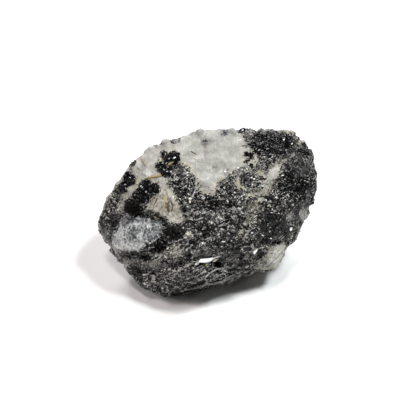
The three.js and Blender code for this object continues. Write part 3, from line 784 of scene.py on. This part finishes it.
spotted = add_node(rock, "Math", tone, spotted, operation="MULTIPLY")
grey_mark = add_node(rock, "MapRange", spotted, -0.2, -0.7, 0.0, 0.8)
black_mark = add_node(rock, "MapRange", spotted, -0.75, -0.95)

# The milky crystal: clear blue-grey inside, with frosty white cleavage.
frost = add_node(rock, "MapRange", clouds[0.7], 0.4, 0.6, -0.2, 0.42)
for texture, strength in ((grain_shade, 0.22), (speckle, 0.26), (leaf_edge, 0.4)):
    frost = add_node(rock, "Math", texture, strength, frost, operation="MULTIPLY_ADD")
frost = add_node(rock, "Math", frost, tone, operation="ADD", use_clamp=True)

# Each mineral goes from dark to light by its own texture. Then they lie over each other, first
# in the feldspar and then in the whole stone, each where its share of the rock is.
MINERAL_COLOURS = {
    "strands": (salt_pick, "#4c4b49", "#c8c6c0"),
    "cream grains": (grain_shade, "#8b8880", "#d2cfc7"),
    "worn schist": (worn_shade, "#222221", "#a9a69f"),
    "tan seams": (speckle, "#57534a", "#bcb6a6"),
    "pale leaves and rim highlight": (speckle, "#6c6b68", "#c9c8c4"),
    "feldspar": (whiteness, "#83837f", "#b6b5ae"),
    "beige arm": (fibres, "#555044", "#b4b0a5"),
    "pepper": (grain_shade, "#35332f", "#8f8b80"),
    "milky crystal": (frost, "#41464b", "#d5d7d6"),
}
paint = {}
for name, (texture, dark, light) in MINERAL_COLOURS.items():
    paint[name] = add_node(rock, "Mix", texture, linear(dark), linear(light), data_type="RGBA")
feldspar_layers = (
    (brightest, linear("#dddcd7")),
    (dark_streak, linear("#8b8b86")),
    (pale_streak, linear("#cccbc6")),
    (stain, linear("#a0926f")),
    (share["beige"], paint["beige arm"]),
    (is_pepper, paint["pepper"]),
    (grey_mark, linear("#62646d")),
    (black_mark, linear("#141414")),
)
feldspar = paint["feldspar"]
for part, over in feldspar_layers:
    feldspar = add_node(rock, "Mix", part, feldspar, over, data_type="RGBA")
stone_layers = (
    (strand, paint["strands"]),
    (is_salt, paint["cream grains"]),
    # painted glints on single grains
    (is_painted_glint, linear("#e6e5e1")),
    (share["black"], linear("#090909")),
    (share["grey"], paint["worn schist"]),
    (share["tan"], paint["tan seams"]),
    # pale leaves, and the painted highlight on rims seen edge on
    (pale_leaf_and_rim_highlight, paint["pale leaves and rim highlight"]),
    (share["feldspar"], feldspar),
    (share["milky"], paint["milky crystal"]),
    # painted shade: the hollows are painted near black
    (share["shaded_pocket"], linear("#0c0b0c")),
)
colour = mica_colour
for part, over in stone_layers:
    colour = add_node(rock, "Mix", part, colour, over, data_type="RGBA")

# Each grain leans its own way, less so in the pale minerals, with a fine roughness over all.
is_pale = add_node(rock, "Math", share["feldspar"], share["milky"], operation="MAXIMUM")
leaning = add_node(rock, "VectorMath", grain, (0.5, 0.5, 0.5), operation="SUBTRACT")
how_far = add_node(rock, "MapRange", is_pale, 0.0, 1.0, 0.8, 0.2)
leaning = add_node(rock, "VectorMath", leaning, how_far, operation="SCALE")
normal = add_node(rock, "NewGeometry", out="Normal")
leant = add_node(rock, "VectorMath", normal, leaning, operation="ADD")
leant = add_node(rock, "VectorMath", leant, operation="NORMALIZE")
fine = add_node(rock, "Math", clouds[1.3], 1.5, clouds[0.3], operation="MULTIPLY_ADD")
bump = add_node(rock, "Bump", 0.6, BUMP_HEIGHT, None, fine, leant)
roughness = add_node(rock, "MapRange", is_pale, 0.0, 1.0, 0.22, 0.46)
# Here and below: the colour, metallic, roughness, IOR, and then alpha and the normal if given.
shader = add_node(rock, "BsdfPrincipled", colour, 0.0, roughness, MICA_IOR, 1.0, bump)
add_node(rock, "OutputMaterial", shader)
stone.data.materials.clear()
stone.data.materials.append(rock)

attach(stone, "root")
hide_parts("labradorite_stone")

# ---------------------------------------------------------------------------------------------
# Mica leaves and black crystal grains. Six-sided leaves of mica, long and short, that stand out
# of the schist at low angles, and stubby amphibole where black crystals stand in the pale face.
# The leaves are thin, flat and glassy, so each one is either black or a glint.
# ---------------------------------------------------------------------------------------------
# How many of each, the tries for each one, their lengths in mm, their width and their heights by
# length, the width of the top by that of the foot, how far they tilt, and the seed.
FLAKES = {
    "mica_blades_long": (4200, 3, (0.7, 1.3), 0.26, (0.02, 0.1), 0.9, 0.16, 7),
    "mica_blades_short": (9800, 3, (0.35, 0.7), 0.38, (0.02, 0.12), 0.9, 0.24, 8),
    "black_crystal_grains": (1500, 30, (0.5, 1.2), 0.8, (0.15, 0.4), 0.7, 0.4, 9),
}
FLAKE_ROOT = 0.3  # how much of its length a flake is sunk in the rock
FLAKE_SEAT_GAP = 0.02  # mm
FLAKE_FACES = [list(range(6)), list(range(11, 5, -1))]
FLAKE_FACES += [[i, i + 6, (i + 1) % 6 + 6, (i + 1) % 6] for i in range(6)]


def unit(ways):
    """The same ways, each one unit long."""
    return ways / np.linalg.norm(ways, axis=1, keepdims=True)


def scattered(mesh, normals, count, random):
    """Random places on a mesh, in mm, with the outward way at each."""
    mesh.calc_loop_triangles()
    corners = np.empty(len(mesh.loop_triangles) * 3, np.int32)
    mesh.loop_triangles.foreach_get("vertices", corners)
    corners = corners.reshape(-1, 3)
    coords = points_of(mesh)
    a, b, c = (coords[corners[:, i]] for i in range(3))
    areas = np.linalg.norm(np.cross(b - a, c - a), axis=1)
    chosen = random.choice(len(areas), size=count, p=areas / areas.sum())
    weights = random.dirichlet((1.0, 1.0, 1.0), size=count)
    spots = sum(coords[corners[chosen, i]] * weights[:, i : i + 1] for i in range(3))
    out = sum(normals[corners[chosen, i]] * weights[:, i : i + 1] for i in range(3))
    return spots, unit(out)


def joined(name, shapes, faces, material, tones):
    """One mesh of many small closed shapes: shapes is pieces x corners x 3, in mm. Each piece has
    a tone of its own and its own corner of the UV map."""
    pieces, corners = shapes.shape[:2]
    mesh = bpy.data.meshes.new(name)
    starts = np.arange(pieces) * corners
    listed = [[corner + start for corner in face] for start in starts.tolist() for face in faces]
    mesh.from_pydata((shapes.reshape(-1, 3) * MM).tolist(), [], listed)
    layer = mesh.attributes.new("tone", "FLOAT", "POINT")
    layer.data.foreach_set("value", np.repeat(tones, corners).astype(np.float32))
    across = math.ceil(math.sqrt(pieces))
    cell = np.stack([np.arange(pieces) % across, np.arange(pieces) // across], -1)
    # The corners of a piece lie on a small ring of the map.
    local = np.stack([np.cos(np.arange(corners) * 2.4), np.sin(np.arange(corners) * 2.4)], -1)
    spread = (cell[:, None, :] + 0.5 + 0.3 * local[None]) / across
    uv = mesh.uv_layers.new(name="OFBake")
    loops = np.empty(len(mesh.loops), np.int32)
    mesh.loops.foreach_get("vertex_index", loops)
    uv.uv.foreach_set("vector", spread.reshape(-1, 2)[loops].astype(np.float32).ravel())
    mesh.materials.append(material)
    piece = bpy.data.objects.new(name, mesh)
    bpy.context.scene.collection.objects.link(piece)
    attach(piece, "root")


# Black mica: almost black where it faces away, glassy where it mirrors a lamp. The palest ones
# are feldspar grains caught among the mica.
mica = new_material("black mica leaves")
leaf_tone = add_node(mica, "Attribute", attribute_name="tone", out="Fac")
leaf_colour = add_node(mica, "ValToRGB", leaf_tone)
fill_ramp(leaf_colour, "#08080a", "#d3d1cb", {0.45: "#131313", 0.66: "#3b3b3b", 0.8: "#83827f"})
shader = add_node(mica, "BsdfPrincipled", leaf_colour, 0.0, 0.16, MICA_IOR)
add_node(mica, "OutputMaterial", shader)

skin_out = normals_of(stone.data)
for kind, (count, tries, lengths, aspect, heights, top_width, tilt, seed) in FLAKES.items():
    random = np.random.RandomState(seed)
    is_grain = kind == "black_crystal_grains"
    spots, out = scattered(stone.data, skin_out, count * tries, random)
    found = minerals_at(spots, out @ toward)
    # How bare each spot stays: grains stand only in the crystals, and leaves keep clear of those,
    # of pale rock and mostly of worn rock.
    if is_grain:
        bare = 1.0 - smooth(found["crystals"], -0.15, 0.15)
    else:
        bare = smooth(np.maximum(found["feldspar"], found["milky"]), -0.5, 0.15)
        bare = np.maximum(bare, found["vein"])
        worn_rock = np.maximum(found["tan"], found["grey"])
        bare = np.maximum(bare, 0.8 * smooth(worn_rock, -0.3, 0.3))
        bare = np.maximum(bare, smooth(found["crystals"], -0.2, 0.1))
    kept = (random.uniform(size=len(spots)) > bare) & (spots[:, 2] > SEAT_BAND)
    kept &= np.cumsum(kept) <= count
    spots, out = spots[kept], out[kept]
    salt_here, tone_here, black_here = (found[name][kept] for name in ("salt", "tone", "black"))
    pieces = len(spots)

    size = random.uniform(*lengths, size=(pieces, 1, 1))
    angle = np.arange(6) * math.pi / 3
    rim = np.stack([np.cos(angle), np.sin(angle)], -1) * random.uniform(0.7, 1.0, (pieces, 6, 1))
    rim = rim * np.array([1.0, aspect]) * 0.5
    thick = np.repeat(random.uniform(*heights, size=(pieces, 1, 1)), 6, axis=1)
    top = np.concatenate([rim * top_width, thick], -1)
    foot = np.concatenate([rim, np.full_like(thick, -FLAKE_ROOT)], -1)
    shapes = np.concatenate([top, foot], 1) * size

    level = 0.3 + 0.7 * smooth(np.abs(out @ toward), 0.05, 0.45)  # flatter where seen edge on
    upward = unit(out + random.normal(size=out.shape) * tilt * level[:, None])
    along = unit(np.cross(upward, random.normal(size=out.shape) + LEAF_NORMAL))
    turns = np.stack([along, np.cross(upward, along), upward], -1)
    shapes = np.einsum("nij,nkj->nki", turns, shapes) + spots[:, None, :]
    shapes[:, :, 2] = np.maximum(shapes[:, :, 2], FLAKE_SEAT_GAP)

    is_salt_flake = random.uniform(size=pieces) < salt_here
    shades = random.uniform(-1.25, 1.0, pieces) + tone_here - 0.9 * smooth(black_here, -0.2, 0.4)
    tones = np.where(is_salt_flake, random.uniform(0.65, 1.0, pieces), np.clip(shades, 0.0, 1.0))
    if is_grain:
        tones = np.clip(random.uniform(0.0, 0.45, pieces) + tone_here, 0.0, 1.0)
    joined(kind, shapes, FLAKE_FACES, mica, tones)

# ---------------------------------------------------------------------------------------------
# Tan needles. Slender brown blades of amphibole, grown flat along the pale feldspar face and
# broken off level with it.
# ---------------------------------------------------------------------------------------------
NEEDLES = [  # where each one runs, its widest half width in mm, its tone from brown to tan
    ((-15.62, 7.38), (-10.5, 8.25), 0.42, 0.7), ((-10.38, 10.25), (-8.38, 11.62), 0.5, 0.35),
    ((-17.5, 8), (-18.38, 4.5), 0.32, 0.5), ((-16.75, 12.5), (-15.5, 10.5), 0.22, 0.4),
    ((-4.5, 14.25), (-2.75, 13.38), 0.16, 0.15), ((8.25, 15.5), (9.75, 15.62), 0.16, 0.1),
    ((-9.5, 1.75), (-10.1, 0.75), 0.26, 0.1), ((-10.1, 0.75), (-9.9, -1.25), 0.26, 0.1),
    ((-9.25, 1.62), (-8.75, 0.25), 0.26, 0.1), ((-8.75, 0.25), (-9.25, -1), 0.2, 0.15),
    ((-10.8, 3.25), (-11, 0), 0.34, 1), ((-12.62, 2.5), (-13.62, 0.5), 0.17, 0.1),
    ((-13.5, 3.25), (-14, 1.75), 0.26, 0.55), ((-13.75, -2), (-12.5, -2.75), 0.24, 0.3),
    ((-17.75, 10.25), (-17, 9.5), 0.14, 0.2), ((8, 5.5), (7.25, 7.25), 0.14, 0.9),
    ((-3.75, 12.5), (-2.75, 12.1), 0.14, 0.95),
]
BLADE_RINGS = 7
BLADE_SHAPE = [0.35, 0.8, 1.0, 0.95, 0.9, 0.65, 0.25]  # how its width runs along it
BLADE_LIFT = 0.04  # mm between the middle of a blade and the stone
BLADE_HEIGHT = 0.8  # by its width
BLADE_ROOT = 0.25  # mm that it goes down into the stone
NEEDLE_STRAIGHTNESS = 0.65  # 1 is straight, and 0 follows every dip of the stone
BLADE_FACES = [[0, 1, 2, 3], [4 * BLADE_RINGS - i for i in range(1, 5)]]
for ring in range(0, 4 * BLADE_RINGS - 4, 4):
    BLADE_FACES += [
        [ring + i, ring + 4 + i, ring + 4 + (i + 1) % 4, ring + (i + 1) % 4] for i in range(4)
    ]

stone_tree = BVHTree.FromObject(stone, bpy.context.evaluated_depsgraph_get())


def aim_at(at_x, at_up):
    """The point at this place in sight, on the plane through the middle of the show side."""
    return show_side_middle + Vector((at_x * MM, 0.0, 0.0)) + up_in_sight * at_up * MM


def seen_spot(at_x, at_up):
    """The point of the stone that the viewer sees at this place, in mm."""
    way = (aim_at(at_x, at_up) - camera.location).normalized()
    return np.array(stone_tree.ray_cast(camera.location, way)[0]) / MM


def laid_blade(start, end, half_width, straightness):
    """The corners of one slender blade that lies on the stone between two places in sight."""
    spots = []
    for ring in range(BLADE_RINGS):
        part = ring / (BLADE_RINGS - 1)
        spots.append(seen_spot(*(np.array(start) * (1 - part) + np.array(end) * part)))
    spots = np.array(spots)
    run = np.linspace(0.0, 1.0, BLADE_RINGS)[:, None]
    straight = spots[0] * (1 - run) + spots[-1] * run
    spots = spots * (1 - straightness) + straight * straightness + toward * BLADE_LIFT
    along = (spots[-1] - spots[0]) / np.linalg.norm(spots[-1] - spots[0])
    sideways = np.cross(toward, along)
    upward = np.cross(along, sideways)
    rings = []
    for spot, width in zip(spots, BLADE_SHAPE):
        side = sideways * half_width * width
        rise = upward * half_width * BLADE_HEIGHT * width
        rings.append([spot + rise, spot - side, spot - rise - upward * BLADE_ROOT, spot + side])
    return np.array(rings).reshape(-1, 3)


def toned_material(name, dark, light, roughness, ior):
    """A finish whose pieces go from a dark to a light colour by their own tones."""
    material = new_material(name)
    tone = add_node(material, "Attribute", attribute_name="tone", out="Fac")
    colour = add_node(material, "Mix", tone, linear(dark), linear(light), data_type="RGBA")
    shader = add_node(material, "BsdfPrincipled", colour, 0.0, roughness, ior)
    add_node(material, "OutputMaterial", shader)
    return material


needle_shapes = [
    laid_blade(start, end, width, NEEDLE_STRAIGHTNESS) for start, end, width, _ in NEEDLES
]
needle_tones = np.array([tone for _, _, _, tone in NEEDLES])
# Amphibole blades: silky and brown, lighter where they are thin and bleached.
tan_blades = toned_material("tan amphibole blades", "#2f2a18", "#b8a671", 0.4, 1.63)
joined("tan_needles", np.array(needle_shapes), BLADE_FACES, tan_blades, needle_tones)

# ---------------------------------------------------------------------------------------------
# The round knob. One dull black crystal, rounded like a bead, that stands half out of the pale
# face beside the milky crystal.
# ---------------------------------------------------------------------------------------------
KNOB_PLACE = (-18.75, 0.1)
KNOB_RADIUS = 1.68  # mm
KNOB_RISE = 0.096  # how far its middle stands out from the stone, in mm
bpy.ops.mesh.primitive_ico_sphere_add(subdivisions=5, radius=KNOB_RADIUS * MM)
knob = bpy.context.object
knob.name = "round_black_knob"
ball = points_of(knob.data)
bumps = 0.25 * swell(ball, 1.3, 80) + broken_grains(ball, 0.55, 81, 0.9)
middle = seen_spot(*KNOB_PLACE) + toward * KNOB_RISE
ball = middle + ball * (1.0 + bumps / KNOB_RADIUS)[:, None]
knob.data.vertices.foreach_set("co", (ball * MM).astype(np.float32).ravel())
knob.data.uv_layers[0].name = "OFBake"
bpy.ops.object.shade_smooth_by_angle(angle=GRAIN_ANGLE)

# Dull black amphibole: near black with a faint brown cast, grey on the tops of its grains.
dull = new_material("dull black amphibole")
place = add_node(dull, "TexCoord", out="Object")
mottle = add_node(dull, "TexNoise", place, 1.0 / (0.5 * MM), 3.0, 0.6)
part = add_node(dull, "MapRange", mottle, 0.55, 0.72)
dull_colour = add_node(dull, "Mix", part, linear("#080706"), linear("#3c3530"), data_type="RGBA")
shader = add_node(dull, "BsdfPrincipled", dull_colour, 0.0, 0.45, 1.15)
add_node(dull, "OutputMaterial", shader)
knob.data.materials.append(dull)
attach(knob, "root")

# ---------------------------------------------------------------------------------------------
# Pale leaf edges. Where a leaf of the schist ends, its broken edge stands up as a thin, bleached
# strip, in short lengths one after another.
# ---------------------------------------------------------------------------------------------
LEAF_EDGE_HALF_WIDTH = 0.1  # mm
LEAF_EDGE_STRAIGHTNESS = 0.2
STANDING_LEAF = 0.4  # seams lighter than this have a strip of their own
edge_shapes = []
for run, _, amount, _ in SEAMS:
    for start, end in zip(run[:-1], run[1:]):
        if amount > STANDING_LEAF:
            strip = laid_blade(start, end, LEAF_EDGE_HALF_WIDTH, LEAF_EDGE_STRAIGHTNESS)
            edge_shapes.append(strip)
edge_tones = np.random.RandomState(10).uniform(size=len(edge_shapes))
# Bleached leaf edges: dusty and silky, between the grey of the schist and the white of feldspar.
bleached = toned_material("bleached mica edges", "#6d6c68", "#c9c7c1", 0.4, 1.5)
joined("pale_leaf_edges", np.array(edge_shapes), BLADE_FACES, bleached, edge_tones)

# ---------------------------------------------------------------------------------------------
# White cleavage plates and painted glints. Fresh flat breaks of feldspar that lie level with the
# schist and catch the light whole: the big one ends the ledge low on the show side. Their
# near-white colour is partly painted highlight, and most of the small grains are painted glints.
# ---------------------------------------------------------------------------------------------
PLATES = [  # six corners each, as the viewer sees them, and a tone from cream to white
    ([(-2.38, -13.5), (-1.88, -12.75), (-0.5, -12.6), (1.38, -12.4), (0.75, -13.25),
      (-0.75, -13.6)], 1),
    ([(-3.35, -14.1), (-2.75, -13.5), (-2.1, -13.2), (-1.9, -13.55), (-2.4, -14.05),
      (-3, -14.3)], 0.8),
    ([(-1, -13.65), (0, -13.35), (0.65, -13.35), (0.35, -13.75), (-0.25, -14), (-0.75, -13.95)], 0.75),
    ([(-0.8, -13.95), (-0.35, -13.85), (-0.1, -14), (-0.25, -14.35), (-0.65, -14.45),
      (-0.85, -14.25)], 0),
    ([(11.12, -10.38), (11.75, -10.25), (12.5, -10.38), (12.12, -11), (11.62, -11.62),
      (11.38, -11)], 0.95),
    ([(20.5, -4.45), (20.9, -4.35), (21.1, -4.6), (20.95, -5.65), (20.6, -5.75), (20.45, -5.38)], 1),
    ([(1.3, -12.9), (1.75, -12.55), (2.38, -12.45), (2.4, -12.85), (1.9, -13.3), (1.3, -13.5)], 0.2),
]
# Most of these grains are painted glints, painted near white where light glints; the lowest tones are
# cream grains.
PAINTED_GLINTS_AND_GRAINS = [  # single bright grains: the middle, the reach across and up in mm, and the tone
    ((8.6, -10.25), 0.21, 0.23, 0.85), ((19, 17.1), 0.24, 0.21, 0.63), ((21, 16.1), 0.21, 0.23, 0.77),
    ((8.1, 17.05), 0.19, 0.19, 0.9), ((16.12, 4.25), 0.15, 0.17, 0.72),
    ((15.6, 1.8), 0.15, 0.15, 0.63), ((16.1, -0.3), 0.17, 0.17, 0.68),
    ((14.1, -9.5), 0.21, 0.21, 0.68), ((15.45, -5.83), 0.19, 0.17, 0.77),
    ((15.75, -7.62), 0.24, 0.17, 0.68), ((11.65, -3.65), 0.19, 0.26, 0.72),
    ((2, -5.25), 0.26, 0.17, 0.54), ((-5, -6.4), 0.41, 0.49, 0.32), ((-4.38, 2.38), 0.49, 0.3, 0.54),
    ((-4.5, 1.62), 0.26, 0.38, 0.45), ((-8.7, 2.7), 0.24, 0.32, 0.68), ((-6.15, -5), 0.24, 0.21, 0.54),
    ((-15.95, -16.65), 0.24, 0.19, 0.68), ((-8.6, -12.3), 0.15, 0.28, 0.59),
    ((-12.75, -16.9), 0.15, 0.17, 0.72), ((-5.1, 8.9), 0.24, 0.17, 0.85),
    ((4.3, 9.15), 0.28, 0.23, 0.9), ((0.88, 9.35), 0.21, 0.13, 0.72),
    ((-0.05, 7.42), 0.17, 0.15, 0.72), ((7.5, 10), 0.23, 0.24, 0.81),
    ((-20.93, 3.35), 0.19, 0.19, 0.54), ((-17.25, 5.4), 0.15, 0.23, 0.77),
    ((7.85, -14.75), 0.19, 0.19, 0.5), ((9.5, -11.75), 0.24, 0.38, 0.18),
    ((-6.65, 4.15), 0.34, 0.11, 0.5), ((-11.5, -15.5), 0.17, 0.17, 0.45), ((17, -8.75), 0.17, 0.15, 0),
    ((18.5, -8.1), 0.17, 0.14, 0), ((14, -12.75), 0.15, 0.15, 0.1), ((12.6, -13.5), 0.15, 0.17, 0),
    ((15.1, -9.9), 0.23, 0.12, 0.05), ((20.35, -0.25), 0.15, 0.2, 0), ((22, -4.1), 0.15, 0.23, 0.1),
    ((3.9, -18.95), 0.23, 0.19, 0.14), ((-0.15, -18.35), 0.19, 0.24, 0.45),
    ((18.15, -2.75), 0.13, 0.3, 0.32), ((-10.12, -10.12), 0.23, 0.15, 0.6),
    ((-9.25, -11.12), 0.2, 0.28, 0.7), ((-7.88, -9.62), 0.17, 0.23, 0.6),
    ((-5.25, -10.5), 0.23, 0.17, 0.6), ((-3.88, -12.25), 0.15, 0.2, 0.6), ((-13, -12), 0.2, 0.2, 0.55),
    ((-12.12, -12.5), 0.23, 0.17, 0.55), ((-10.75, -15.38), 0.17, 0.17, 0.6),
    ((-8.38, -15.5), 0.15, 0.17, 0.6), ((12.58, -12.25), 0.15, 0.2, 0.6),
    ((5.08, -13.75), 0.12, 0.15, 0.5), ((-15.08, -4.7), 0.23, 0.28, 0.8),
    ((-12, -4.9), 0.17, 0.15, 0.85), ((-12.75, -4.2), 0.15, 0.12, 0.7),
    ((-21.5, -8.42), 0.17, 0.23, 0.9), ((-22.4, -9.65), 0.23, 0.12, 0.85),
    ((-12.6, -6.75), 0.15, 0.15, 0.9), ((-19.25, -6), 0.12, 0.12, 0.7),
    ((-17.62, -7.12), 0.11, 0.23, 0.7), ((-20.38, -10.1), 0.2, 0.11, 0.7),
    ((-14.4, -5.4), 0.12, 0.2, 0.7), ((-23.6, -8.62), 0.11, 0.2, 0.6),
]
PLATE_THICKNESS = 0.6  # mm, most of it sunk in the rock
PLATE_LIFT = 0.05  # mm that its middle stands out of the rock, and more the longer it is
PLATE_LIFT_BY_LENGTH = 0.1
PLATE_NORMAL = np.array([0.22, -0.55, 0.8]) / np.linalg.norm([0.22, -0.55, 0.8])
GLINT_TURN = 0.3  # radians from level to a glint's first corner
for (at_x, at_up), across, up, tone_of_grain in PAINTED_GLINTS_AND_GRAINS:
    turns = [GLINT_TURN + i * math.pi / 3 for i in range(6)]
    ring = [(at_x + across * math.cos(turn), at_up - up * math.sin(turn)) for turn in turns]
    PLATES.append((ring, tone_of_grain))
plate_shapes = []
eye = np.array(camera.location) / MM
for corners, _ in PLATES:
    lift = PLATE_LIFT + PLATE_LIFT_BY_LENGTH * np.ptp(corners, axis=0).max()
    level = seen_spot(*np.mean(corners, axis=0)) + toward * lift
    top = []
    for corner in corners:
        way = np.array(aim_at(*corner)) / MM - eye
        top.append(eye + way * ((level - eye) @ PLATE_NORMAL) / (way @ PLATE_NORMAL))
    top = np.array(top)
    plate_shapes.append(np.concatenate([top, top - PLATE_NORMAL * PLATE_THICKNESS]))
plate_tones = np.array([tone for _, tone in PLATES])
# Fresh feldspar cleavage: white, smooth and pearly, so it mirrors the lamp over it. Its lighter
# tones are partly painted highlight and painted glints.
cleavage_and_glint_finish = toned_material("feldspar cleavage and painted glints", "#ad9c6c", "#f2f3f4", 0.22, 1.54)
joined("cleavage_plates_and_painted_glints", np.array(plate_shapes), FLAKE_FACES, cleavage_and_glint_finish, plate_tones)

# ---------------------------------------------------------------------------------------------
# The table: a plain white sheet under soft lamps. It isn't part of the stone.
# ---------------------------------------------------------------------------------------------
TABLE_WIDTH = 3.0  # m
LAMP_DISTANCE = 0.8  # m
FILL_LIGHT = 0.06  # the strength of the even white light from all round
bpy.ops.mesh.primitive_plane_add(size=TABLE_WIDTH, location=(0.0, 0.0, 0.0))
table = bpy.context.object
table.name = "white_table"
paper = bpy.data.materials.new("matt white paper")
paper.use_nodes = True
paper_shader = paper.node_tree.nodes["Principled BSDF"]
paper_shader.inputs["Base Color"].default_value = (0.95, 0.95, 0.95, 1.0)
paper_shader.inputs["Roughness"].default_value = 0.9
table.data.materials.append(paper)

# Each lamp: its azimuth from +X and its rise in degrees, its width in metres, its watts, its tint.
LAMPS = {
    "key": (358.0, 64.0, 0.2, 5.3, (0.96, 1.0, 1.0)),
    "top": (240.0, 74.0, 0.16, 1.9, (1.0, 0.94, 0.93)),
    "left": (190.0, 35.0, 0.3, 1.7, (1.0, 0.92, 0.89)),
    "back": (98.0, 32.0, 0.4, 4.0, (1.0, 0.98, 0.99)),
}
for name, (azimuth, rise, width, watts, tint) in LAMPS.items():
    data = bpy.data.lights.new(name, "AREA")
    data.shape = "DISK"
    data.size = width
    data.energy = watts
    data.color = tint
    light = bpy.data.objects.new(name, data)
    bpy.context.scene.collection.objects.link(light)
    turn, climb = math.radians(azimuth), math.radians(rise)
    way = Vector((math.cos(climb) * math.cos(turn), math.cos(climb) * math.sin(turn), math.sin(climb)))
    light.location = way * LAMP_DISTANCE
    light.rotation_euler = way.to_track_quat("Z", "Y").to_euler()
world = bpy.data.worlds.new("studio")
bpy.context.scene.world = world
world.use_nodes = True
world.node_tree.nodes["Background"].inputs["Color"].default_value = (1.0, 1.0, 1.0, 1.0)
world.node_tree.nodes["Background"].inputs["Strength"].default_value = FILL_LIGHT
bpy.context.scene.view_settings.view_transform = "Standard"

low, high = cad_box
